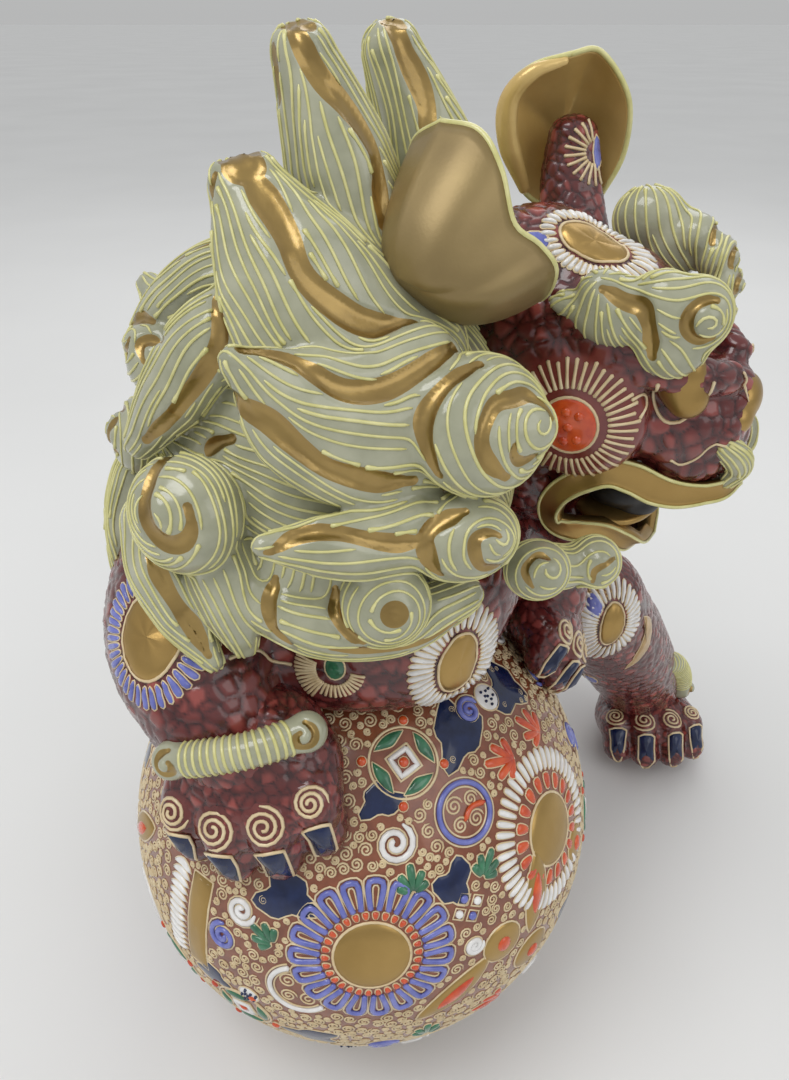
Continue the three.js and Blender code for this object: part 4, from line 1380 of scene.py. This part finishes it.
def ears():
    rim = [(20, -8, 280), (27, -14, 279), (31, -19, 273), (34, -21, 263.5), (39.5, -20, 259.3),
           (43.5, -19, 254),
           (43, -8, 245), (36, 4, 242), (26, 10, 246), (17, 10, 257), (14, 6, 268), (15, -1, 276)]
    shell = ear(ear_gold, rim, (12, -23, 254), 21, (-0.5, -0.65, -0.55), power=3.2)
    shell.build("ear_right_shell", ["ear_right"], "satin_gold")
    rim = [(54, 46, 289.5), (62, 48, 290), (70.5, 48, 280), (72, 50, 267.5), (68.5, 51, 258), (64, 52, 252),
           (54, 51, 252.5), (45, 50, 258.5), (41, 49, 272), (39.5, 48, 281.4), (45, 46, 287)]
    # the far ear and its fold take the gold with painted light
    shell = ear(painted_light_gold, rim, (57, 62, 270), 12, (0.1, 0.95, 0.05))
    shell.build("ear_left_shell", ["ear_left"], "satin_gold")
    fold = Lock([(53, 45.5, 288), (45, 45, 285.5), (40, 46.5, 279.5), (40.5, 48, 270), (46, 50, 258)],
                [1.0, 2.2, 3.2, 3.0, 1.6], [1.0, 2.0, 2.6, 2.6, 1.6], (57, 62, 270))
    dab("ear_left_fold", [fold], [], painted_light_gold, "satin_gold")
    tongue = pebbled("ear_left_tongue", [
        Lock([(60, 43, 247), (58.5, 47, 256), (58, 50, 265), (58, 51, 271)], [9, 8.6, 8, 6.5], [7, 6, 5.5, 5],
             (60, 90, 262))], [], FINE_VOXEL, 1.5, 2.8, 0.25)
    trim = Shell()
    gem = Patch((64, 44, 267.5), (0.35, -1, 0.1), 0, tongue)
    fan(trim, gem, 12, 2.8, 7.8, 100, 285, cream_outline)
    gem.pad(trim, leaf([(0.6, 4.2), (1.4, 0), (0.6, -4.2)], 1.8), 0.6, violet, 0.3)
    trim.build("ear_enamel", (), "maroon_glaze")


# ---------------------------------------------------------------- tail and fetlock scrolls
def tail():
    hub = (18, 120, 170)
    stripe = [(0.0, 0.0, 2.0, 0.1, 0.95)]
    bodies = [
        Lock([(18, 128, 112), (18, 148, 126), (18, 156, 146)], [16.5, 15.5, 14.5], [14.5, 13.5, 11.5], hub),
        Lock([(18, 154, 144), (18, 159, 172), (14, 153, 204), (8, 140, 233)], [16.5, 16.5, 12.5, 3.5],
             [10.5, 10.5, 8, 3.5],
             hub, [(0.5, 0.2, 2.0, 0.1, 0.95), (-0.5, -0.2, 2.0, 0.1, 0.95)], FLUTING),
        Lock([(8, 150, 140), (-8, 155, 160), (-20, 153, 182), (-25, 142, 203)], [12, 12, 9, 3.5],
             [10, 10, 7.5, 3.5],
             hub, stripe, FLUTING),
        Lock([(28, 150, 140), (44, 153, 160), (51, 149, 182), (51, 138, 203)], [12, 12, 9, 3.5],
             [10, 10, 7.5, 3.5],
             hub, stripe, FLUTING),
        Curl((18, 162.4, 134), (9, 9, 6.5), (0, 1, -0.1), coils=[(60, 380, 7, 1.8, 1.4)]),
    ]
    hairy("tail_flames", bodies, ["tail_root", "tail_flame_centre", "tail_flame_right", "tail_flame_left"],
          VOXEL, 2.2)


def scroll(name, points, radius, node, facing):
    """A ribbed roll of hair with a coiled gilded end at each side."""
    line = spline(points, 80)
    tangent = unit(np.gradient(line, axis=0))
    facing = unit(facing)
    bodies = [Lock(points, [radius] * 4, [radius] * 4, np.mean(points, 0) - facing * 60)]
    for end, hand in ((0, 1), (-1, -1)):
        bodies.append(Curl(line[end], (radius * 1.18, radius * 1.18, radius * 1.12), facing, hand=hand,
                           pitch=4,
                           boss=0.45, coils=[(90, 90 + hand * 330, radius * 0.85, radius * 0.3, 1.2)]))
    vertices, quads, *_ = gilded(name, bodies, [node], FINE_VOXEL, 1.0)
    skin = Skin(vertices, quads)
    ribs = Shell()
    across = unit(np.cross(tangent, facing))
    for k in range(12, 69, 4):
        swing = np.linspace(-1.9, 1.9, 13)
        out = np.cross(across[k], tangent[k])
        out = out if out @ facing > 0 else -out
        sweep = across[k][None] * np.sin(swing)[:, None] + out[None] * np.cos(swing)[:, None]
        ring = line[k] + sweep * radius * 1.1
        ring = ring + tangent[k] * np.cos(swing)[:, None] * 0.8
        spots, sides = skin.nearest(ring)
        tube(ribs, spots, sides, 0.46, cream_line, bead=1.2)
    ribs.build(name + "_ribs", (), "celadon_glaze")


def scrolls():
    scroll("fetlock_roll_front_right", [(-43, -51.7, 146.4), (-34, -54.7, 150.4), (-22, -55.2, 153.9),
                                        (-10, -51.2, 155.4)],
           4.2, "fetlock_scroll_front_right", (-0.1, -0.9, 0.45))
    scroll("fetlock_roll_hind_left", [(126, 82, 58), (135, 87, 54), (142, 93, 43), (146, 97, 31)], 5.0,
           "fetlock_scroll_hind_left", (0.8, -0.6, 0.2))
    scroll("fetlock_roll_hind_right", [(-58, 87, 56), (-66, 93, 50), (-70, 98, 39), (-69, 101, 29)], 4.6,
           "fetlock_scroll_hind_right", (-0.9, -0.4, 0.2))


# ---------------------------------------------------------------- brocade ball
def heading(turn, rise):
    """Direction from the ball's centre: `turn` from its front towards +X, `rise` above its equator."""
    a, b = math.radians(turn), math.radians(rise)
    return vec(math.sin(a) * math.cos(b), -math.cos(a) * math.cos(b), math.sin(b))


def hoop(angle, near, far, half):
    """A petal's open outline: in at one side, round the far end and back."""
    spread = half / ((near + far) / 2)
    turns = np.array([-0.75, -0.95, -1.0, -0.8, 0.0, 0.8, 1.0, 0.95, 0.75]) * spread + angle
    reach = np.array([0, 0.4, 0.75, 0.95, 1.0, 0.95, 0.75, 0.4, 0]) * (far - near) + near
    return spline(np.stack([reach * np.cos(turns), reach * np.sin(turns)], 1), 16)


def flower(shell, patch, inner, outer, petals, beads, rim, length):
    """A chrysanthemum: gold heart, a ring of small petals and a ring of hoops or of solid strokes."""
    gilt = 10.2
    patch.pad(shell, oval(gilt, gilt, count=32), 0.9, gold, 0.45)
    for k in range(beads):
        angle = k * 2 * math.pi / beads
        half = 0.4 * 2 * math.pi * (gilt + rim / 2) / beads
        patch.pad(shell, petal(angle, gilt + 0.9, gilt + rim, half, 12), 0.8, inner, 0.28)
    for k in range(petals):
        angle = (k + 0.5) * 2 * math.pi / petals
        near, far = gilt + rim + 0.6, gilt + rim + length
        half = 0.5 * 2 * math.pi * (near + far) / 2 / petals
        if outer is white:
            patch.pad(shell, petal(angle, near, far, half * 0.78, 16), 1.0, white, 0.3)
            continue
        patch.line(shell, hoop(angle, near, far - 1.0, half * 0.6), 0.85, outer, sides=6, taper=False)
        patch.line(shell, hoop(angle, near, far + 0.2, half * 0.95), 0.3, cream_outline, taper=False)
        patch.line(shell, hoop(angle, near + 0.6, far - 2.3, half * 0.24), 0.28, cream_outline, taper=False)


def coin(shell, patch, radius):
    """Four green leaves round a white square with an orange boss."""
    patch.line(shell, oval(radius, radius, count=40)[list(range(40)) + [0, 1]], 0.4, cream_outline,
               taper=False)
    inner = radius * 0.55
    for k in range(4):
        angle = k * math.pi / 2 + 0.2
        arc = np.linspace(-0.62, 0.62, 9)
        outer_arc = np.stack([radius * 0.9 * np.cos(arc + angle), radius * 0.9 * np.sin(arc + angle)], 1)
        bow, swing = 0.92 + 0.3 * (arc / 0.62) ** 2, arc[::-1] * 0.75 + angle
        inner_arc = np.stack([(inner + 0.4) * np.cos(swing) * bow, (inner + 0.4) * np.sin(swing) * bow], 1)
        patch.pad(shell, np.concatenate([outer_arc, inner_arc]), 0.9, green, 0.3)
    square = np.array([(math.cos(a), math.sin(a)) for a in 0.2 + math.pi / 4 + np.arange(5) * math.pi / 2])
    for reach, width, material in ((inner * 0.98, 0.35, cream_outline), (inner * 0.72, 0.8, white)):
        loop = np.concatenate([np.linspace(square[i] * reach, square[i + 1] * reach,
                                           5)[:-1] for i in range(4)]
                              + [square[4:] * reach])
        patch.line(shell, loop, width, material, taper=False)
    patch.pad(shell, oval(1.4, 1.4, count=10), 1.0, orange, 0.25)


def sprig(shell, patch, material):
    """Five leaves from one stalk."""
    for k in range(-2, 3):
        angle = math.radians(90 + 30 * k)
        patch.pad(shell, petal(angle, 0.6, 8.0 - 1.6 * abs(k), 1.35, 14), 0.9, material, 0.28)


def coral(shell, patch, material):
    """A branching leaf like a scrap of coral."""
    for angle, far in ((90, 10.5), (58, 8.5), (124, 8.0), (22, 6.5), (160, 5.5)):
        patch.pad(shell, petal(math.radians(angle), -0.5, far, 1.5, 14), 0.8, material, 0.28)


def lens(shell, patch, length, half):
    """A gold ribbon lens with a red slit."""
    patch.pad(shell, leaf([(0, -length), (half * 0.1, 0), (0, length)], half, 15), 0.9, gold, 0.35)
    patch.pad(shell, leaf([(0, -length * 0.55), (0, 0), (0, length * 0.55)], half * 0.5, 11), 1.5, orange)


def navy_patch(shell, patch, radius, seed):
    wobble = np.random.default_rng(seed)
    angle = np.arange(22) * 2 * math.pi / 22
    lobes = 0.22 * np.sin(3 * angle + wobble.uniform(0, 6))
    ripple = 0.14 * np.sin(5 * angle + wobble.uniform(0, 6))
    reach = radius * (1 + lobes + ripple)
    patch.pad(shell, np.stack([reach * np.cos(angle), reach * np.sin(angle) * 0.8], 1), 0.35, navy, 0.25)


def ring(shell, patch, radius, material, first=0, last=360):
    """A round wire, or the part of it between two angles, with a cream line along both sides."""
    angle = np.radians(np.linspace(first, last, 44))
    for reach, width, paint_ in ((0, 0.8, material), (-1.2, 0.28, cream_outline), (1.2, 0.28, cream_outline)):
        loop = np.stack([np.cos(angle), np.sin(angle)], 1) * (radius + reach)
        patch.line(shell, loop, width, paint_, sides=6, taper=False)


def whorl(shell, patch, radius, material, hand=1):
    patch.line(shell, coil(radius, 1.9, 0.08, hand=hand), 0.85, material, sides=6)
    patch.line(shell, coil(radius + 1.3, 1.9, 0.2, hand=hand), 0.28, cream_outline)


def grid_motif(shell, patch):
    for x in (-1, 1):
        for y in (-1, 1):
            corner = np.array([(-1.5, -1.5), (1.5, -1.5), (1.5, 1.5), (-1.5, 1.5)]) + (x * 2.1, y * 2.1)
            patch.line(shell, np.concatenate([corner, corner[:1]]), 0.3, cream_outline, taper=False)
            material = violet if x == y else white
            patch.pad(shell, oval(1.15, 1.15, (x * 2.1, y * 2.1), 10), 0.9, material)


SWIRL_SPACING = 3.7
SMALLEST_SWIRL = 0.9
MOTIF_GAP = 0.8  # least ground between two motifs
MOTIF_TRIES = 1500
BALL_GRID = 97, 192

# motifs that show: (kind, turn, rise, size, spin)
FRONT_MOTIFS = [
    ("flower", 4, 17, 23, 0), ("blossom", 55.4, 24.5, 23, 0), ("coin", 18, 55, 9.3, 10),
                ("whorl_white", 11, 40, 6.4, 60),
    ("ring_violet", 32, 41.5, 8.6, 0), ("navy", 42.4, 56, 9, 40), ("navy", 8.5, 48.5, 5.6, 10),
    ("navy", -15.5, 28.5, 8.0, 20), ("navy", 24, 29, 6.2, 60), ("navy", 76, 53, 9, 0),
    ("sprig_green", 14, 31.5, 7.5, 0), ("sprig_green", 32.5, 29, 7.0, -40),
                ("sprig_green", -19, 18.5, 7.0, 60),
    ("whorl_white", -25.5, 22.5, 5.4, 0), ("whorl_violet", -29.5, 14, 5.6, 90),
                ("whorl_violet", 53, 58, 5.0, 0),
    ("coral", 52, 45, 9, 60), ("coral", 70, 43, 9, 20), ("dots", 65, 56.5, 5.0, 0),
                ("ring_free", -11.5, 6.5, 9.2, 0),
    ("grid", 26.2, 22.8, 4.8, 60), ("whorl_white", 26.5, 13.2, 4.0, 0), ("lens", 44.5, 15.5, 13, -18),
    ("lens", 21.5, 1.5, 14, -52), ("boss", 33.5, 9.5, 7.2, 0), ("boss", 42.5, -1, 7.6, 0),
                ("boss", 64, 12.5, 6.6, 0),
    ("coin", -26, -9, 8.6, 0), ("navy", -10, -14, 7.5, 0), ("whorl_violet", 6, -20, 6.0, 0),
                ("band", -37, 12, 17, 0),
    ("sprig_green", 16, -14, 6.5, 0), ("coral", 33, -14, 8.5, 90), ("navy", -33.5, -1.5, 6, 0),
    ("whorl_white", 46, -14, 5.0, 0), ("dots", -23.5, -1, 4.0, 0), ("navy", 60, -6, 7.5, 0),
]
# kinds drawn at random elsewhere, and their sizes
KINDS = ["coin", "whorl_white", "ring_violet", "navy", "sprig_green", "whorl_violet", "coral", "dots",
         "ring_white",
         "navy", "grid", "lens", "boss", "navy"]
SIZES = {"coin": 9, "whorl_white": 6, "ring_violet": 8.6, "navy": 6, "sprig_green": 5.6, "whorl_violet": 5.6,
         "coral": 7.5, "dots": 5, "ring_white": 9, "grid": 4.8, "lens": 12, "boss": 5}
# share of a motif's size that no swirl starts in
SOLID_SHARES = {"flower": 0.92, "blossom": 0.92, "coin": 0.86, "ring_violet": 0.92, "ring_white": 0.88,
                "ring_free": 0.76, "navy": 0.68}


def draw_motif(motifs, number, kind, patch, size, spin):
    if kind == "flower":
        flower(motifs, patch, orange, violet, 19, 30, 3.0, 9.2)
    elif kind == "blossom":
        flower(motifs, patch, orange, white, 46, 18, 5.6, 7.2)
    elif kind == "coin":
        coin(motifs, patch, size)
        for k in range(4):
            a = math.radians(65 + 90 * k)
            patch.pad(motifs, oval(1.3, 1.3, (math.cos(a) * (size + 1.8), math.sin(a) * (size + 1.8)), 10),
                      1.0,
                      orange, 0.25)
    elif kind == "whorl_white":
        whorl(motifs, patch, size - 1.3, white, -1)
    elif kind == "whorl_violet":
        whorl(motifs, patch, size - 1.3, violet, 1)
    elif kind == "ring_violet":
        ring(motifs, patch, size - 1.0, violet)
        for x, y, q in ((-2.5, 2.6, 2.6), (2.8, 2.4, 2.2), (-2.6, -2.6, 2.3), (2.4, -2.8, 2.5)):
            patch.line(motifs, coil(q, 2.0, centre=(x, y)), 0.3, cream_outline, sides=4)
        patch.line(motifs, spline([(-1, -2), (2, 0.5), (6.5, 0)], 10), 0.8, orange)
    elif kind in ("ring_white", "ring_free"):
        ring(motifs, patch, size - 1.0, white, *((110, 318) if kind == "ring_free" else ()))
        for x, y, q in ((-3, 3, 2.8), (-3, -3, 2.5), (2.6, -3, 2.8)):
            patch.line(motifs, coil(q, 2.0, centre=(x, y)), 0.3, cream_outline, sides=4)
    elif kind == "navy":
        navy_patch(motifs, patch, size, number)
    elif kind == "sprig_green":
        sprig(motifs, Patch(ball_centre, patch.place([(0, -2.5)])[1][0], spin), green)
    elif kind == "coral":
        coral(motifs, Patch(ball_centre, patch.place([(0, -3.0)])[1][0], spin), orange)
    elif kind == "dots":
        patch.pad(motifs, oval(size - 0.8, size - 0.8, count=22), 0.5, white, 0.3)
        for k in range(9):
            a = k * 2.4
            q = 0.95 * math.sqrt(k)
            patch.pad(motifs, oval(0.5, 0.5, (q * math.cos(a), q * math.sin(a)), 7), 1.1, navy)
    elif kind == "grid":
        grid_motif(motifs, patch)
    elif kind == "lens":
        lens(motifs, patch, size, 4.3)
    elif kind == "boss":
        patch.pad(motifs, oval(size - 0.8, size - 0.8, count=20), 0.9, gold, 0.35)
        patch.pad(motifs, oval(2.4, 2.7, count=14), 1.6, orange)
    elif kind == "band":
        patch.pad(motifs, [(x * 3.6, y * 16.5) for x, y in ((1, -1), (1, -0.5), (1, 0), (1, 0.5), (1, 1),
                                                            (-1, 1),
                           (-1, 0.5), (-1, 0), (-1, -0.5), (-1, -1))], 0.8, gold, 0.4)
        for k in range(13):
            y = -15 + 2.5 * k
            patch.pad(motifs, leaf([(-4.6, y * 0.95), (-8.5, y * 1.05), (-12.5, y * 0.95)], 0.95, 7), 0.9,
                      white,
                      0.25)


def ball():
    rows, columns = BALL_GRID
    rise = np.linspace(-math.pi / 2, math.pi / 2, rows)
    turn = np.arange(columns) * 2 * math.pi / columns
    r, t = np.meshgrid(rise, turn, indexing="ij")
    points = np.stack([np.cos(r) * np.cos(t), np.cos(r) * np.sin(t), np.sin(r)], -1) * GLAZE_RADIUS
    points = points.reshape(-1, 3) + ball_centre
    points[:, 2] = np.maximum(points[:, 2], 0)
    add_piece("ball_body", points, grid_faces(rows, columns), rust, ["ball"], "brocade_glaze")

    marks = list(FRONT_MOTIFS)
    for number, spot in enumerate(((130, 12), (-125, 20), (-170, -8), (175, 42), (95, -22), (-75, -28))):
        marks.append(("flower" if number % 2 else "blossom", *spot, 23, 0))
    places = [heading(m[1], m[2]) * BALL_RADIUS for m in marks]
    reach = [m[3] + MOTIF_GAP for m in marks]
    for _ in range(MOTIF_TRIES):
        kind = KINDS[int(rng.integers(len(KINDS)))]
        spot = unit(rng.normal(size=3)) * BALL_RADIUS
        size = SIZES[kind]
        turned = math.degrees(math.atan2(spot[0], -spot[1]))
        if -45 < turned < 72 and spot[2] > -35:
            continue
        if all(np.linalg.norm(spot - p) > size + r for p, r in zip(places, reach)):
            marks.append((kind, turned, math.degrees(math.asin(spot[2] / BALL_RADIUS)), size,
                          rng.uniform(0, 360)))
            places.append(spot)
            reach.append(size + MOTIF_GAP)
    motifs = Shell()
    for number, (kind, turn_, rise_, size, spin) in enumerate(marks):
        patch = Patch(ball_centre, heading(turn_, rise_), spin)
        draw_motif(motifs, number, kind, patch, size, spin)
    motifs.build("ball_motifs", (), "brocade_glaze")
    swirls(marks, places, motifs)


def swirls(marks, places, motifs):
    """Cream swirls over the ground: an even net of them, then smaller ones in the gaps round the motifs."""
    solid = np.array([SOLID_SHARES.get(mark[0], 0.45) * mark[3] for mark in marks])
    places = np.array(places)
    painted = np.concatenate(motifs.vertices)
    tree = KDTree(len(painted))
    for index, point in enumerate(painted):
        tree.insert(point, index)
    tree.balance()
    shell = Shell()
    count = round(4 * math.pi * BALL_RADIUS ** 2 / (0.866 * SWIRL_SPACING ** 2))
    golden = math.pi * (3 - math.sqrt(5))
    level = 1 - 2 * (np.arange(count) + 0.5) / count
    across = np.sqrt(1 - level * level)
    turn = golden * np.arange(count)
    net = np.stack([np.cos(turn) * across, np.sin(turn) * across, level], 1) * BALL_RADIUS
    net = unit(net + rng.normal(size=net.shape) * 0.25) * BALL_RADIUS
    spots = np.concatenate([net, unit(rng.normal(size=(9 * count, 3))) * BALL_RADIUS])
    spins = rng.uniform(0, 360, len(spots))
    laid, sizes = np.zeros((len(spots), 3)), np.zeros(len(spots))
    total = 0
    for number, spot in enumerate(spots):
        if spot[2] < 4 - BALL_RADIUS or np.any(np.linalg.norm(places - spot, axis=1) < solid):
            continue
        size = min(SWIRL_SPACING * 0.54, tree.find(spot + ball_centre)[2] - 0.6)
        if size > SMALLEST_SWIRL and total:
            size = min(size, (np.linalg.norm(laid[:total] - spot, axis=1) - sizes[:total]).min())
        if size < (1.5 if number < count else SMALLEST_SWIRL):
            continue
        laid[total], sizes[total] = spot, size
        total += 1
        patch = Patch(ball_centre, spot, spins[number])
        patch.line(shell, coil(size, 1.9, 0.15, hand=1 if number % 2 else -1, per_turn=9), 0.3, cream_outline,
                   sides=4)
    shell.build("ball_swirls", (), "brocade_glaze")


mane()
body_skin = body()
body_enamel(body_skin)
paws()
head_skin = head()
face_details(head_skin)
brows()
ears()
tail()
scrolls()
ball()


# ---------------------------------------------------------------- stage, light and camera
FLOOR_SIZE, FLOOR_DROP = 60, 0.0002  # metres
SKY = [(0.0, (0.655, 0.66, 0.66)), (0.35, (0.86, 0.87, 0.88))]
SKY_STRENGTH = 0.72
# (name, metres from the statue's middle, size in metres, watts)
LIGHTS = [("key", (-0.5, -0.35, 1.2), 0.7, 6.6), ("fill", (0.9, -0.8, 0.8), 0.9, 2.6),
          ("back", (0.3, 0.9, 0.9), 0.8, 2.6)]
EYE_PLACE, EYE_PITCH = (10.7, -187.4, 297.9), 33  # the camera looks down by this many degrees
SENSOR, LENS = 36.0, 27.03


def stage():
    bpy.ops.mesh.primitive_plane_add(size=FLOOR_SIZE, location=(0, 0, float(floor_point[2]) - FLOOR_DROP))
    floor = bpy.context.object
    floor.name = "floor"
    material, nodes, links, surface = shader("pale_floor", Roughness=0.8)
    links.new(ramp(nodes, links, noise(nodes, links, 3.0),
                   [(0.3, (0.76, 0.76, 0.75)), (0.7, (0.80, 0.80, 0.79))]),
              surface.inputs["Base Color"])
    floor.data.materials.append(material)
    world = bpy.data.worlds.new("studio")
    world.use_nodes = True
    sky_nodes, sky_links = world.node_tree.nodes, world.node_tree.links
    split = sky_nodes.new("ShaderNodeSeparateXYZ")
    sky_links.new(sky_nodes.new("ShaderNodeTexCoord").outputs["Generated"], split.inputs["Vector"])
    sky = ramp(sky_nodes, sky_links, split.outputs["Z"], SKY)
    sky_links.new(sky, sky_nodes["Background"].inputs["Color"])
    world.node_tree.nodes["Background"].inputs["Strength"].default_value = SKY_STRENGTH
    bpy.context.scene.world = world
    bpy.context.scene.view_settings.view_transform = "Standard"
    middle = Vector(metres((20, 20, 150)).tolist())
    for name, place, size, power in LIGHTS:
        light = bpy.data.lights.new(name, "AREA")
        light.size, light.energy = size, power
        lamp = bpy.data.objects.new(name, light)
        lamp.location = middle + Vector(place)
        lamp.rotation_euler = (middle - lamp.location).to_track_quat("-Z", "Y").to_euler()
        bpy.context.scene.collection.objects.link(lamp)


def camera():
    view = bpy.data.cameras.new("camera")
    view.sensor_width, view.lens = SENSOR, LENS
    view.clip_start = 0.01
    eye = bpy.data.objects.new("camera", view)
    eye.location = metres(EYE_PLACE)
    eye.rotation_euler = (math.radians(90 - EYE_PITCH), 0, 0)
    bpy.context.scene.collection.objects.link(eye)
    bpy.context.scene.camera = eye


stage()
camera()
